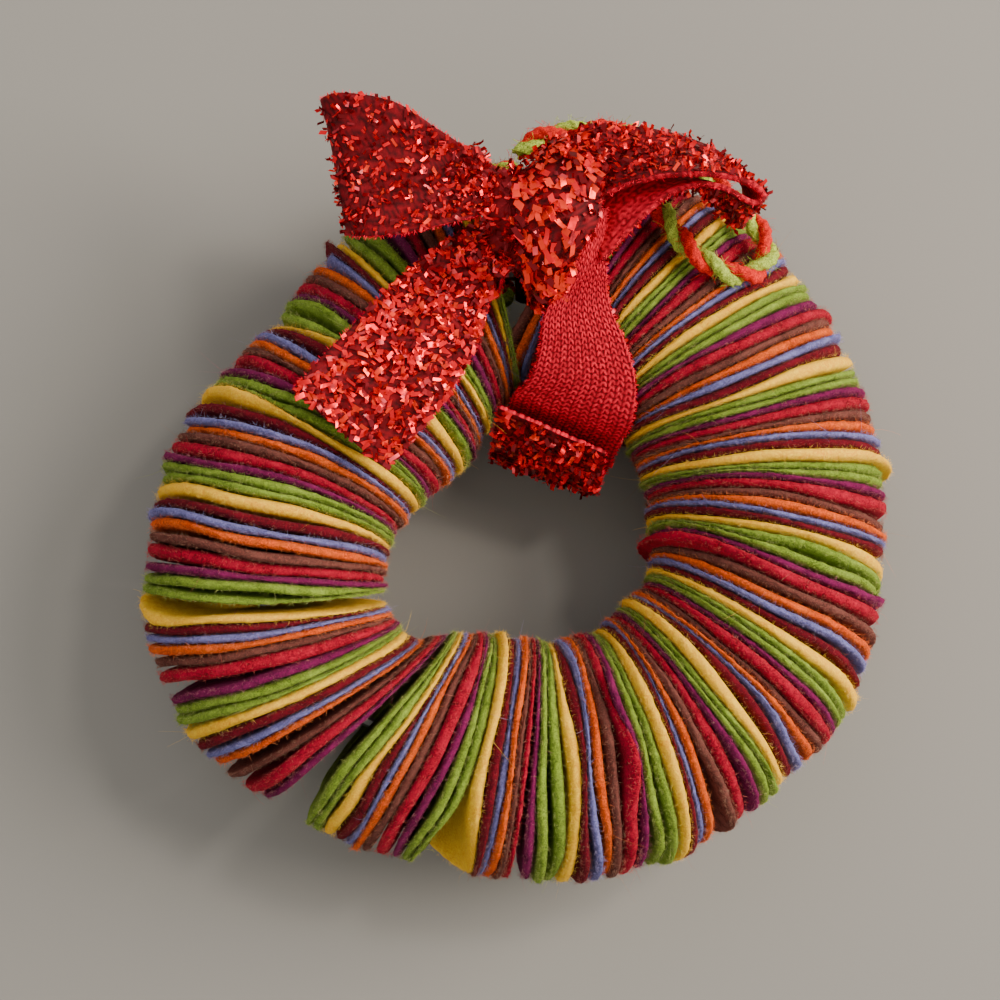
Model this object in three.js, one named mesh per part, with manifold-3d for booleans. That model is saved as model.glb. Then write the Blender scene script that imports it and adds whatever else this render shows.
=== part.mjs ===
// A hanging wreath ornament: round discs of wool felt threaded on a wire ring,
// with a ribbon bow tied round the wire at the top and a loop of twisted yarn to hang it by.
// It lies on its back as on a table: +Z is up, +Y points to the bow, and lengths are in millimetres.
import * as THREE from "three";
import Module from "manifold-3d";
import { mergeVertices } from "three/addons/utils/BufferGeometryUtils.js";

// Driving dimensions of the felt discs and of the wire that they are threaded on.
const discRadius = 12.7;
const discEdgeDrop = 0.5;
const restFlat = 0.55;
const discSides = 14;
const packGap = 0.3;
const wireRadius = 0.6;
const wireBiteShare = 0.95;
const ringRadius = 26.2;
const boreClearance = 0.6;
const wireSides = 6;
const wireSteps = 80;
const twistTurns = 2;
const twistPitch = 1.25;
const twistSides = 5;
const twistStepsPerTurn = 8;

// Driving dimensions of the ribbon, its bow and the yarn.
const ribbonWidth = 12.5;
const ribbonThickness = 1;
const ribbonSteps = 4;
const gatherThickness = 1.4;
const gatherWidth = 2.6;
const knotLength = 12.2;
const knotWidth = 10;
const knotHeight = 7.2;
const knotSegments = 12;
const knotRows = 8;
const yarnRadius = 1.2;
const yarnSides = 8;
const yarnSlack = 0.1;
const yarnKnotRadius = 1.9;
const yarnKnotSegments = 10;
const yarnKnotRows = 6;
const seatGap = 0.3;

// Where the discs stand. Each stop is the face before a disc: its number, the wire's angle there in degrees,
// the wire's distance from the middle as a share of the ring's radius, the way that the disc faces outwards
// in degrees, and its tilt in degrees, where plus leans its top on round the ring. A run has no gap in it.
const wireHeight = discRadius - restFlat;
const feltTop = wireHeight + discRadius;
const runStops = [
  [
    { disc: 0, at: 273.1, reachShare: 0.984, faces: 264.5, tilt: 2 },
    { disc: 3, at: 279, reachShare: 1.01, faces: 272.6, tilt: 5 },
    { disc: 12, at: 297.4, reachShare: 1.05, faces: 286.9, tilt: 10 },
    { disc: 21, at: 315.1, reachShare: 1.052, faces: 308, tilt: 8.5 },
    { disc: 30, at: 331.4, reachShare: 1.078, faces: 325.7, tilt: 9.3 },
    { disc: 39, at: 350.6, reachShare: 1.026, faces: 343.9, tilt: 12 },
    { disc: 48, at: 368.8, reachShare: 1.018, faces: 362.8, tilt: 7 },
    { disc: 57, at: 385.2, reachShare: 1.006, faces: 378.5, tilt: 6.5 },
    { disc: 66, at: 400.6, reachShare: 1.008, faces: 393.7, tilt: 8 },
    { disc: 75, at: 414.5, reachShare: 1.014, faces: 406.9, tilt: 9 },
    { disc: 84, at: 428.7, reachShare: 1.006, faces: 420.9, tilt: 8 },
    { disc: 89, at: 437.5, reachShare: 0.994, faces: 430, tilt: 7 },
  ],
  [
    { disc: 0, at: 95.7, reachShare: 0.972, faces: 104.9, tilt: -3 },
    { disc: 2, at: 98.5, reachShare: 0.969, faces: 106.7, tilt: -5 },
    { disc: 11, at: 118.3, reachShare: 0.831, faces: 126.8, tilt: -6.6 },
    { disc: 20, at: 140.2, reachShare: 0.755, faces: 144.3, tilt: -14 },
    { disc: 29, at: 162, reachShare: 0.847, faces: 151.5, tilt: -11.4 },
    { disc: 38, at: 180.2, reachShare: 0.961, faces: 166.4, tilt: -9.5 },
    { disc: 47, at: 197.2, reachShare: 1.052, faces: 180, tilt: 1.5 },
  ],
  [
    { disc: 0, at: 200, reachShare: 1.072, faces: 181, tilt: 1.5 },
    { disc: 9, at: 216.1, reachShare: 1.103, faces: 202, tilt: 4.2 },
    { disc: 13, at: 224.3, reachShare: 1.085, faces: 210.5, tilt: 3 },
  ],
  [
    { disc: 0, at: 226.2, reachShare: 1.066, faces: 213.5, tilt: 3 },
    { disc: 3, at: 232.9, reachShare: 1.028, faces: 223.5, tilt: 1.5 },
  ],
  [
    { disc: 0, at: 235.8, reachShare: 1.018, faces: 228, tilt: 1.5 },
    { disc: 2, at: 239.9, reachShare: 1.014, faces: 233.5, tilt: 1.6 },
    { disc: 11, at: 258.2, reachShare: 0.967, faces: 253.5, tilt: 7 },
    { disc: 17, at: 271.5, reachShare: 0.987, faces: 263, tilt: 3 },
  ],
];
// Which colour each run starts with. The nine colours then repeat round the ring.
const feltColours = ["yellow", "burgundy", "blue", "orange", "brown", "red", "purple", "green", "green"];
const runFirstColours = [6, 7, 0, 4, 7];
const packBreaks = [0, 4];

const materials = {
  yellowToOrangeFelt: new THREE.MeshStandardMaterial({ color: 0xd9a046, roughness: 0.95, metalness: 0 }),
  brownToGreenFelt: new THREE.MeshStandardMaterial({ color: 0x7a9e2e, roughness: 0.95, metalness: 0 }),
  glitterRibbon: new THREE.MeshStandardMaterial({ color: 0xc4121a, roughness: 0.35, metalness: 0.4 }),
  yarn: new THREE.MeshStandardMaterial({ color: 0xd9472a, roughness: 0.95, metalness: 0 }),
  wire: new THREE.MeshStandardMaterial({ color: 0x8f8f8c, roughness: 0.35, metalness: 1 }),
};

const wasm = await Module();
wasm.setup();

const ornament = new THREE.Group();
const radians = THREE.MathUtils.degToRad;

// One closed geometry from corner points and faces, turned so that its faces point out.
function closedGeometry(points, faces) {
  let sixVolumes = 0;
  for (const [a, b, c] of faces) {
    sixVolumes += points[a].dot(points[b].clone().cross(points[c]));
  }
  const turned = sixVolumes < 0 ? faces.map(([a, b, c]) => [a, c, b]) : faces;
  const geometry = new THREE.BufferGeometry().setFromPoints(points);
  geometry.setIndex(turned.flat());
  return geometry;
}

// The faces between rings of corners that follow one another in the list of points.
function sideFaces(first, rings, corners, closed) {
  const faces = [];
  const bands = closed ? rings : rings - 1;
  for (let band = 0; band < bands; band++) {
    const near = first + band * corners;
    const far = first + ((band + 1) % rings) * corners;
    for (let corner = 0; corner < corners; corner++) {
      const next = (corner + 1) % corners;
      faces.push([near + corner, near + next, far + next], [near + corner, far + next, far + corner]);
    }
  }
  return faces;
}

// A solid skinned over rings of corners, closed on itself or capped at both ends.
function skin(rings, closed) {
  const corners = rings[0].length;
  const faces = sideFaces(0, rings.length, corners, closed);
  if (!closed) {
    const last = (rings.length - 1) * corners;
    for (let corner = 1; corner < corners - 1; corner++) {
      faces.push([0, corner + 1, corner], [last, last + corner, last + corner + 1]);
    }
  }
  return closedGeometry(rings.flat(), faces);
}

// A manifold-3d solid from a closed geometry, and back.
function toSolid(geometry) {
  const bare = geometry.clone();
  bare.deleteAttribute("normal");
  bare.deleteAttribute("uv");
  const merged = mergeVertices(bare);
  const corners = merged.index ? merged.index.array : merged.attributes.position.array.map((_, i) => i);
  return new wasm.Manifold(
    new wasm.Mesh({
      numProp: 3,
      vertProperties: new Float32Array(merged.attributes.position.array),
      triVerts: new Uint32Array(corners),
    }),
  );
}

function toGeometry(solid) {
  const mesh = solid.getMesh();
  const geometry = new THREE.BufferGeometry();
  geometry.setAttribute("position", new THREE.BufferAttribute(mesh.vertProperties, 3));
  geometry.setIndex(new THREE.BufferAttribute(mesh.triVerts, 1));
  return geometry;
}

function place(name, geometry, material) {
  const mesh = new THREE.Mesh(geometry, material);
  mesh.name = name;
  ornament.add(mesh);
  return mesh;
}

// The wire's middle line, bent by hand and so not quite round: it goes through every stop.
function wirePoint(stop) {
  const reach = ringRadius * stop.reachShare;
  const angle = radians(stop.at);
  return new THREE.Vector3(reach * Math.cos(angle), reach * Math.sin(angle), wireHeight);
}

const allStops = runStops.flat();
const wireLine = new THREE.CatmullRomCurve3(allStops.map(wirePoint), true);

// The plane of a disc's face: the wire's place there, the way outwards, the disc's own up and its normal.
function facePlane(run, disc) {
  const stops = runStops[run];
  const before = runStops.slice(0, run).flat().length;
  let leg = 0;
  while (leg < stops.length - 2 && disc > stops[leg + 1].disc) leg++;
  const from = stops[leg];
  const to = stops[leg + 1];
  const part = (disc - from.disc) / (to.disc - from.disc);
  const at = wireLine.getPoint((before + leg + part) / allStops.length);
  const faces = radians(THREE.MathUtils.lerp(from.faces, to.faces, part));
  const tilt = radians(THREE.MathUtils.lerp(from.tilt, to.tilt, part));
  const out = new THREE.Vector3(Math.cos(faces), Math.sin(faces), 0);
  const onward = new THREE.Vector3(-Math.sin(faces), Math.cos(faces), 0);
  const up = new THREE.Vector3(0, 0, Math.cos(tilt)).addScaledVector(onward, Math.sin(tilt));
  const normal = out.clone().cross(up).negate();
  return { at, out, up, normal, tilt };
}

// The outline of a disc in its plane, cut flat where it stands on the floor.
function discOutline(plane, radius, shift) {
  const floorDrop = wireHeight / Math.cos(plane.tilt);
  const leastFlat = radians(4);
  const half = Math.max(leastFlat, floorDrop < radius ? Math.acos(floorDrop / radius) : 0);
  const middle = plane.at.clone().addScaledVector(plane.normal, shift);
  const outline = [];
  for (let corner = 0; corner < discSides; corner++) {
    const turn = -Math.PI / 2 + half + ((2 * Math.PI - 2 * half) * corner) / (discSides - 1);
    const point = middle
      .clone()
      .addScaledVector(plane.out, radius * Math.cos(turn))
      .addScaledVector(plane.up, radius * Math.sin(turn));
    point.z = Math.max(point.z, 0);
    outline.push(point);
  }
  return outline;
}

function boreOutline(plane, shift) {
  const radius = wireRadius + boreClearance;
  const middle = plane.at.clone().addScaledVector(plane.normal, shift);
  return Array.from({ length: wireSides }, (_, corner) => {
    const turn = (2 * Math.PI * corner) / wireSides;
    return middle
      .clone()
      .addScaledVector(plane.out, radius * Math.cos(turn))
      .addScaledVector(plane.up, radius * Math.sin(turn));
  });
}

// A pack of discs pressed together: a ridge for each disc's rim, a groove between discs, and a bore for the wire.
function feltPack(run, firstDisc, discs) {
  const rings = [];
  for (let step = 0; step <= 2 * discs; step++) {
    const share = step / (2 * discs);
    const shift = THREE.MathUtils.lerp(packGap / 2, -packGap / 2, share);
    const plane = facePlane(run, firstDisc + step / 2);
    const radius = step % 2 ? discRadius : discRadius - discEdgeDrop;
    rings.push({ plane, shift, outline: discOutline(plane, radius, shift) });
  }
  const ends = [rings[0], rings[rings.length - 1]];
  const bores = ends.map(({ plane, shift }) => boreOutline(plane, shift));
  const points = [...rings.flatMap((ring) => ring.outline), ...bores.flat()];
  const boreFirst = rings.length * discSides;
  const faces = sideFaces(0, rings.length, discSides, false);
  for (const face of sideFaces(boreFirst, 2, wireSides, false)) faces.push(face.toReversed());
  ends.forEach(({ plane, outline }, end) => {
    const flat = (p) => new THREE.Vector2(p.dot(plane.out), p.dot(plane.up));
    const outerFirst = end ? (rings.length - 1) * discSides : 0;
    const innerFirst = boreFirst + end * wireSides;
    const inner = bores[end].map(flat);
    const cap = THREE.ShapeUtils.triangulateShape(outline.map(flat), [inner]);
    const corner = (i) => (i < discSides ? outerFirst + i : innerFirst + i - discSides);
    for (const [a, b, c] of cap) {
      faces.push(end ? [corner(a), corner(b), corner(c)] : [corner(c), corner(b), corner(a)]);
    }
  });
  return closedGeometry(points, faces);
}

function addFeltPacks() {
  let number = 0;
  runStops.forEach((stops, run) => {
    const count = stops[stops.length - 1].disc;
    let disc = 0;
    while (disc < count) {
      const colour = (runFirstColours[run] + disc) % feltColours.length;
      let size = 1;
      while (disc + size < count && !packBreaks.includes((colour + size) % feltColours.length)) size++;
      number++;
      const warm = colour < packBreaks[1];
      const name = `felt_discs_${String(number).padStart(2, "0")}`;
      place(name, feltPack(run, disc, size), warm ? materials.yellowToOrangeFelt : materials.brownToGreenFelt);
      disc += size;
    }
  });
}

// The wire ring, closed by winding one end of the wire round the other inside the gap at the top.
function addWire() {
  const rings = [];
  for (let step = 0; step < wireSteps; step++) {
    const at = wireLine.getPointAt(step / wireSteps);
    const along = wireLine.getTangentAt(step / wireSteps);
    const out = new THREE.Vector3(along.y, -along.x, 0).normalize();
    rings.push(
      Array.from({ length: wireSides }, (_, corner) => {
        const turn = (2 * Math.PI * corner) / wireSides;
        const point = at.clone().addScaledVector(out, wireRadius * Math.cos(turn));
        point.z += wireRadius * Math.sin(turn);
        return point;
      }),
    );
  }
  const ring = toSolid(skin(rings, true));
  const twistReach = 2 * wireRadius * wireBiteShare;
  const seat = gapSeat(twistShift);
  const turns = Array.from({ length: twistTurns * twistStepsPerTurn + 1 }, (_, step) => {
    const turn = (2 * Math.PI * step) / twistStepsPerTurn;
    const along = twistPitch * (step / twistStepsPerTurn - twistTurns / 2);
    return seat.at
      .clone()
      .addScaledVector(seat.along, along)
      .addScaledVector(seat.out, twistReach * Math.cos(turn))
      .add(new THREE.Vector3(0, 0, twistReach * Math.sin(turn)));
  });
  const twist = toSolid(tube(turns, wireRadius, twistSides, turns.length - 1));
  place("wire_ring", toGeometry(ring.add(twist)), materials.wire);
}

// A round tube along a smooth curve through some points.
function tube(points, radius, sides, steps) {
  const section = new THREE.Shape(
    Array.from({ length: sides }, (_, corner) => {
      const turn = (2 * Math.PI * corner) / sides;
      return new THREE.Vector2(radius * Math.cos(turn), radius * Math.sin(turn));
    }),
  );
  return new THREE.ExtrudeGeometry(section, {
    steps,
    bevelEnabled: false,
    extrudePath: new THREE.CatmullRomCurve3(points),
  });
}

// A ribbon of even thickness through pairs of edge points.
function ribbon(edges, thickness, closed) {
  const middles = edges.map(([a, b]) => a.clone().add(b).divideScalar(2));
  const last = edges.length - 1;
  const rings = edges.map(([a, b], i) => {
    const before = middles[i > 0 ? i - 1 : closed ? last : 0];
    const after = middles[i < last ? i + 1 : closed ? 0 : last];
    const normal = after.clone().sub(before).cross(b.clone().sub(a)).setLength(thickness / 2);
    return [a.clone().add(normal), b.clone().add(normal), b.clone().sub(normal), a.clone().sub(normal)];
  });
  return skin(rings, closed);
}

// The gap at the top, where the ribbon and the yarn go round the wire. Seats are counted from its middle, and
// plus is onward to the left.
const gapFrom = runStops[0][runStops[0].length - 1];
const gapTo = runStops[1][0];
const gapWidth = wirePoint(gapFrom).distanceTo(wirePoint(gapTo));

function gapSeat(shift) {
  const share = (runStops[0].length - 0.5 + shift / gapWidth) / allStops.length;
  const at = wireLine.getPoint(share);
  const along = wireLine.getTangent(share);
  const out = new THREE.Vector3(along.y, -along.x, 0).normalize();
  return { at, along, out };
}

// The gathered ribbon lies on the right, over the wire's twist, and the yarn lies on the left.
const twistShift = -gatherWidth / 2 + wireRadius / 4;
const gatherShift = seatGap - gatherWidth / 2 + wireRadius / 2;
const yarnShift = gatherShift + gatherWidth / 2 + seatGap + yarnRadius;

// The knot's middle, over the gap, with its underside clear of the discs.
const knotAside = 3.2;
const knotOut = 2.4;
const knotLift = 3.3;
const knotAt = new THREE.Vector3(knotAside, ringRadius + knotOut, feltTop + knotLift);

// The ribbon gathered round the wire: an oval band from under the wire up to the knot.
// Each share pair is the way out and the way up from the wire, of a disc's radius.
const gatherShares = [
  [0, -0.25],
  [0.2, -0.13],
  [0.31, 0.2],
  [0.33, 0.6],
  [0.28, 0.86],
  [0.16, 0.91],
  [0.04, 0.85],
  [-0.1, 0.52],
  [-0.23, 0.14],
  [-0.19, -0.15],
];

function addGather() {
  const seat = gapSeat(gatherShift);
  const edges = gatherShares.map(([outShare, upShare]) => {
    const middle = seat.at.clone().addScaledVector(seat.out, outShare * discRadius);
    middle.z += upShare * discRadius;
    return [-gatherWidth / 2, gatherWidth / 2].map((half) => middle.clone().addScaledVector(seat.along, half));
  });
  place("ribbon_round_wire", ribbon(edges, gatherThickness, true), materials.glitterRibbon);
}

function addKnot() {
  const ball = new THREE.SphereGeometry(1, knotSegments, knotRows);
  ball.rotateX(Math.PI / 2);
  const squeezed = new THREE.Matrix4().makeScale(knotWidth / 2, knotLength / 2, knotHeight / 2);
  const solid = toSolid(ball.applyMatrix4(squeezed));
  place("bow_knot", toGeometry(solid), materials.glitterRibbon).position.copy(knotAt);
}

// One piece of the bow's ribbon, bent smoothly through its edge points. They are shares of the ribbon's width
// from the knot.
function addRibbonPiece(name, edgeShares) {
  const edges = edgeShares.map((pair) =>
    pair.map((shares) => new THREE.Vector3(...shares).multiplyScalar(ribbonWidth).add(knotAt)),
  );
  const curves = [0, 1].map((side) => new THREE.CatmullRomCurve3(edges.map((pair) => pair[side])));
  const steps = (edges.length - 1) * ribbonSteps;
  const bent = Array.from({ length: steps + 1 }, (_, step) => curves.map((curve) => curve.getPoint(step / steps)));
  place(name, ribbon(bent, ribbonThickness, false), materials.glitterRibbon);
}

// The left loop lies flat: its top layer goes out to the tip and the layer below comes back.
const leftLoopShares = [
  [[-0.34, 0.16, 0.16], [-0.3, 0.43, 0.16]],
  [[-0.59, 0.08, 0.24], [-0.54, 0.5, 0.22]],
  [[-0.91, -0.02, 0.27], [-0.83, 0.73, 0.24]],
  [[-1.26, -0.08, 0.24], [-1.18, 0.91, 0.22]],
  [[-1.5, -0.07, 0.16], [-1.6, 1.02, 0.16]],
  [[-1.58, -0.01, 0], [-1.76, 0.98, 0.02]],
  [[-1.48, -0.02, -0.12], [-1.6, 0.97, -0.12]],
  [[-1.22, -0.02, -0.16], [-1.16, 0.87, -0.15]],
  [[-0.9, 0.06, -0.12], [-0.82, 0.68, -0.12]],
  [[-0.62, 0.12, -0.07], [-0.54, 0.47, -0.07]],
  [[-0.42, 0.18, -0.01], [-0.39, 0.4, -0.01]],
];

// The right loop turns on edge towards its tip. Each pair is its upper and its lower edge.
const rightLoopShares = [
  [[0.42, 0, 0.16], [0.42, 0.7, 0.02]],
  [[0.67, 0.25, 0.35], [0.66, 0.75, -0.05]],
  [[0.99, 0.37, 0.58], [0.95, 0.71, -0.08]],
  [[1.27, 0.33, 0.66], [1.27, 0.61, -0.1]],
  [[1.54, 0.25, 0.67], [1.58, 0.49, -0.1]],
  [[1.66, 0.14, 0.64], [1.74, 0.23, -0.1]],
  [[1.55, 0.07, 0.64], [1.59, 0.03, -0.1]],
  [[1.27, 0.17, 0.62], [1.31, 0.12, -0.1]],
  [[0.99, 0.22, 0.51], [1.02, 0.17, -0.1]],
  [[0.7, 0.11, 0.22], [0.7, 0.12, -0.12]],
  [[0.46, 0.02, 0], [0.46, 0.33, -0.16]],
];

// The left tail lies on the discs. Each pair is its left and its right edge, from the knot to the cut end.
const leftTailShares = [
  [[-0.46, 0.03, -0.08], [-0.34, -0.36, -0.08]],
  [[-0.62, 0, -0.16], [-0.37, -0.48, -0.16]],
  [[-0.89, -0.18, -0.2], [-0.47, -0.62, -0.2]],
  [[-1.16, -0.4, -0.2], [-0.55, -0.9, -0.2]],
  [[-1.48, -0.72, -0.2], [-0.78, -1.3, -0.2]],
  [[-1.76, -1.01, -0.2], [-1.02, -1.61, -0.2]],
  [[-2.02, -1.3, -0.17], [-1.28, -1.9, -0.2]],
];

// The right tail drapes over the discs into the hole, and its end curls back up.
const rightTailShares = [
  [[-0.02, -0.52, -0.06], [0.42, -0.39, -0.06]],
  [[-0.05, -0.72, -0.16], [0.53, -0.66, -0.16]],
  [[-0.1, -0.94, -0.32], [0.66, -0.91, -0.28]],
  [[-0.16, -1.16, -0.51], [0.72, -1.2, -0.46]],
  [[-0.22, -1.3, -0.8], [0.71, -1.5, -0.66]],
  [[-0.29, -1.4, -1.08], [0.65, -1.66, -0.94]],
  [[-0.34, -1.52, -1.34], [0.59, -1.81, -1.21]],
  [[-0.38, -1.63, -1.52], [0.54, -1.9, -1.44]],
  [[-0.41, -1.73, -1.6], [0.5, -2.01, -1.57]],
  [[-0.43, -1.79, -1.52], [0.46, -2.1, -1.51]],
  [[-0.44, -1.77, -1.36], [0.46, -2.09, -1.36]],
  [[-0.43, -1.7, -1.19], [0.48, -2.02, -1.2]],
  [[-0.41, -1.55, -0.95], [0.5, -1.9, -1.02]],
  [[-0.38, -1.39, -0.72], [0.51, -1.77, -0.84]],
];

// The yarn tied round the wire, and the knot that its loop leaves from.
const yarnHookTurns = [140, 165, 190, 215, 240, 265, 290, 315, 340];
const yarnStemShares = [
  [0.26, 0.08],
  [0.4, 0.32],
  [0.57, 0.54],
  [0.66, 0.64],
];
const yarnKnotOut = 8.65;
const yarnKnotUp = 9.4;
const yarnKnotAside = -1.2;

function addYarnTie() {
  const seat = gapSeat(yarnShift);
  const reach = wireRadius + seatGap + yarnSlack + yarnRadius;
  const hook = yarnHookTurns.map((turn) => {
    const point = seat.at.clone().addScaledVector(seat.out, reach * Math.cos(radians(turn)));
    point.z += reach * Math.sin(radians(turn));
    return point;
  });
  const knotMiddle = new THREE.Vector3(yarnKnotAside, ringRadius + yarnKnotOut, wireHeight + yarnKnotUp);
  const stem = yarnStemShares.map(([outShare, upShare]) => {
    const point = seat.at.clone().addScaledVector(seat.out, outShare * discRadius);
    point.z += upShare * discRadius;
    return point;
  });
  const steps = hook.length + stem.length;
  const turned = toSolid(tube([...hook, ...stem, knotMiddle], yarnRadius, yarnSides, steps));
  const ball = new THREE.SphereGeometry(yarnKnotRadius, yarnKnotSegments, yarnKnotRows);
  ball.rotateX(Math.PI / 2).translate(...knotMiddle);
  place("yarn_tie", toGeometry(turned.add(toSolid(ball))), materials.yarn);
}

// The loose yarn loop, as it lies: out from the knot, round the far end over the discs, and back.
const hangingLoopRoute = [
  [0.25, 36.6, 21.7],
  [1.3, 37.4, 21.8],
  [3.2, 38.5, 21.6],
  [6, 39.1, 21.2],
  [8.9, 39.3, 20.6],
  [12, 38.9, 20],
  [15.4, 37.6, 19.8],
  [18.8, 35.5, 20.2],
  [22, 32.7, 20.8],
  [24.5, 29.9, 21.4],
  [25.9, 27.4, 22],
  [25.1, 25.1, 23.2],
  [22.9, 24.1, 24.7],
  [20.4, 24.4, 25.5],
  [18.5, 25.9, 25.5],
  [17.1, 28.2, 24.8],
  [15.4, 30.8, 24.2],
  [12.8, 32.3, 24.1],
  [9.6, 32.8, 24.2],
  [6.2, 33.1, 24],
  [3.2, 33.4, 23.1],
  [1.1, 34, 21.9],
];
const hangingLoopSteps = 40;

function addHangingLoop() {
  const points = hangingLoopRoute.map((point) => new THREE.Vector3(...point));
  place("hanging_loop", tube(points, yarnRadius, yarnSides, hangingLoopSteps), materials.yarn);
}

addWire();
addFeltPacks();
addGather();
addKnot();
addRibbonPiece("bow_loop_left", leftLoopShares);
addRibbonPiece("bow_loop_right", rightLoopShares);
addRibbonPiece("bow_tail_left", leftTailShares);
addRibbonPiece("bow_tail_right", rightTailShares);
addYarnTie();
addHangingLoop();

// The origin is on the floor, under the middle of everything but the loose yarn.
const reachBox = new THREE.Box3();
for (const mesh of ornament.children) {
  if (mesh.name !== "hanging_loop") reachBox.expandByObject(mesh);
}
const middle = reachBox.getCenter(new THREE.Vector3());
ornament.position.set(-middle.x, -middle.y, 0);

export default ornament;
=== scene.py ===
"""A small hanging wreath: wool felt discs on a wire ring, a glitter ribbon bow and a loop of twisted yarn.

Lengths in this file are millimetres in the wreath's own drawing, with the middle of the wire ring at zero and the
table at height zero. They are turned to metres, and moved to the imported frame, only where a mesh is made.
"""

from __future__ import annotations

import logging
import math
from collections.abc import Callable, Sequence
from dataclasses import dataclass, field
from enum import Enum

import bpy
import numpy as np
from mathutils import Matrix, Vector

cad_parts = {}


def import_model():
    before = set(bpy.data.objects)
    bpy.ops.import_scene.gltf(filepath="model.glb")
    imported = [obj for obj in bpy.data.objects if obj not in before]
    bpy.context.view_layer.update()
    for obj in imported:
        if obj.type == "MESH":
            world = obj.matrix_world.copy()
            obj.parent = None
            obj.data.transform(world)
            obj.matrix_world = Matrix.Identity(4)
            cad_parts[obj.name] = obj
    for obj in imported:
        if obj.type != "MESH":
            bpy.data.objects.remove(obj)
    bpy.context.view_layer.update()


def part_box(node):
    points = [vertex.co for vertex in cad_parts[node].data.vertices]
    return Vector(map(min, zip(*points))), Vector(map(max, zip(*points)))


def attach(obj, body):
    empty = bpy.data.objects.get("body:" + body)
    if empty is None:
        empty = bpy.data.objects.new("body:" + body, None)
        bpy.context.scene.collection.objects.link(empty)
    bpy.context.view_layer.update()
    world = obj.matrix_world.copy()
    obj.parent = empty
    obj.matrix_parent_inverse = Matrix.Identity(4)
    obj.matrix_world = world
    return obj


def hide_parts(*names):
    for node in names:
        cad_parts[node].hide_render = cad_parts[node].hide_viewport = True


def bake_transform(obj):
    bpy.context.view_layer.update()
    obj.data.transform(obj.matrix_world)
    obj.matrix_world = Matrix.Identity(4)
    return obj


LOG = logging.getLogger("wreath")
MM = 0.001
FULL_TURN = 2 * math.pi
# The sockets of a mix node that mixes colours: its two inputs and its result.
MIX_A, MIX_B, MIXED = 6, 7, 2
Point = tuple[float, float, float]
# One point on each edge of a ribbon, as six numbers.
EdgePair = tuple[float, float, float, float, float, float]
Tree = bpy.types.NodeTree
Socket = bpy.types.NodeSocket


class Slot(Enum):
    """The record's material slots, one named for each piece."""

    WARM_FELT = "felt_yellow_to_orange"
    COOL_FELT = "felt_brown_to_green"
    RIBBON = "glitter_ribbon"
    YARN = "yarn"


class Body(Enum):
    """The moving bodies that pieces ride on."""

    WREATH = "wreath"
    TAIL_LEFT = "tail_left"
    TAIL_RIGHT = "tail_right"
    HANGER = "hanger"


def linear_colour(code: str) -> tuple[float, float, float, float]:
    """Turn an sRGB hex colour to linear light.

    Args:
        code: Six hex digits.

    Returns:
        Red, green, blue and a full alpha.
    """
    parts = [int(code[i : i + 2], 16) / 255 for i in (0, 2, 4)]
    red, green, blue = (c / 12.92 if c <= 0.04045 else ((c + 0.055) / 1.055) ** 2.4 for c in parts)
    return red, green, blue, 1.0


def add_node(
    tree: Tree, kind: str, inputs: dict[str | int, object] | None = None, **settings: str | bool
) -> bpy.types.Node:
    """Add a shader node with its settings, its socket values and its links.

    Args:
        tree: The node tree.
        kind: The node's Blender type name.
        inputs: Socket names or numbers, each with a value or with another node's output socket.
        settings: Attributes of the node.

    Returns:
        The new node.
    """
    node = tree.nodes.new(kind)
    for name, setting in settings.items():
        setattr(node, name, setting)
    for socket, value in (inputs or {}).items():
        if isinstance(value, Socket):
            tree.links.new(value, node.inputs[socket])
        else:
            node.inputs[socket].default_value = value
    return node


def per_metre(size_mm: float) -> float:
    """Turn the real size of a pattern's grain, in mm, to a texture scale per metre."""
    return 1 / (size_mm * MM)


@dataclass(frozen=True)
class Finish:
    """One finish. Each kind lays its own nodes out in its surface method."""

    name: str

    def surface(self, tree: Tree, place: Socket) -> Socket:
        """Add the finish's own nodes, which start from each point's place, and return the surface's socket."""
        raise NotImplementedError

    def build(self) -> bpy.types.Material:
        """Make the finish's material.

        Returns:
            The new material.
        """
        material = bpy.data.materials.new(self.name)
        material.use_nodes = True
        tree = material.node_tree
        tree.nodes.clear()
        place = add_node(tree, "ShaderNodeTexCoord").outputs["Object"]
        add_node(tree, "ShaderNodeOutputMaterial", {"Surface": self.surface(tree, place)})
        return material


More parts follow.
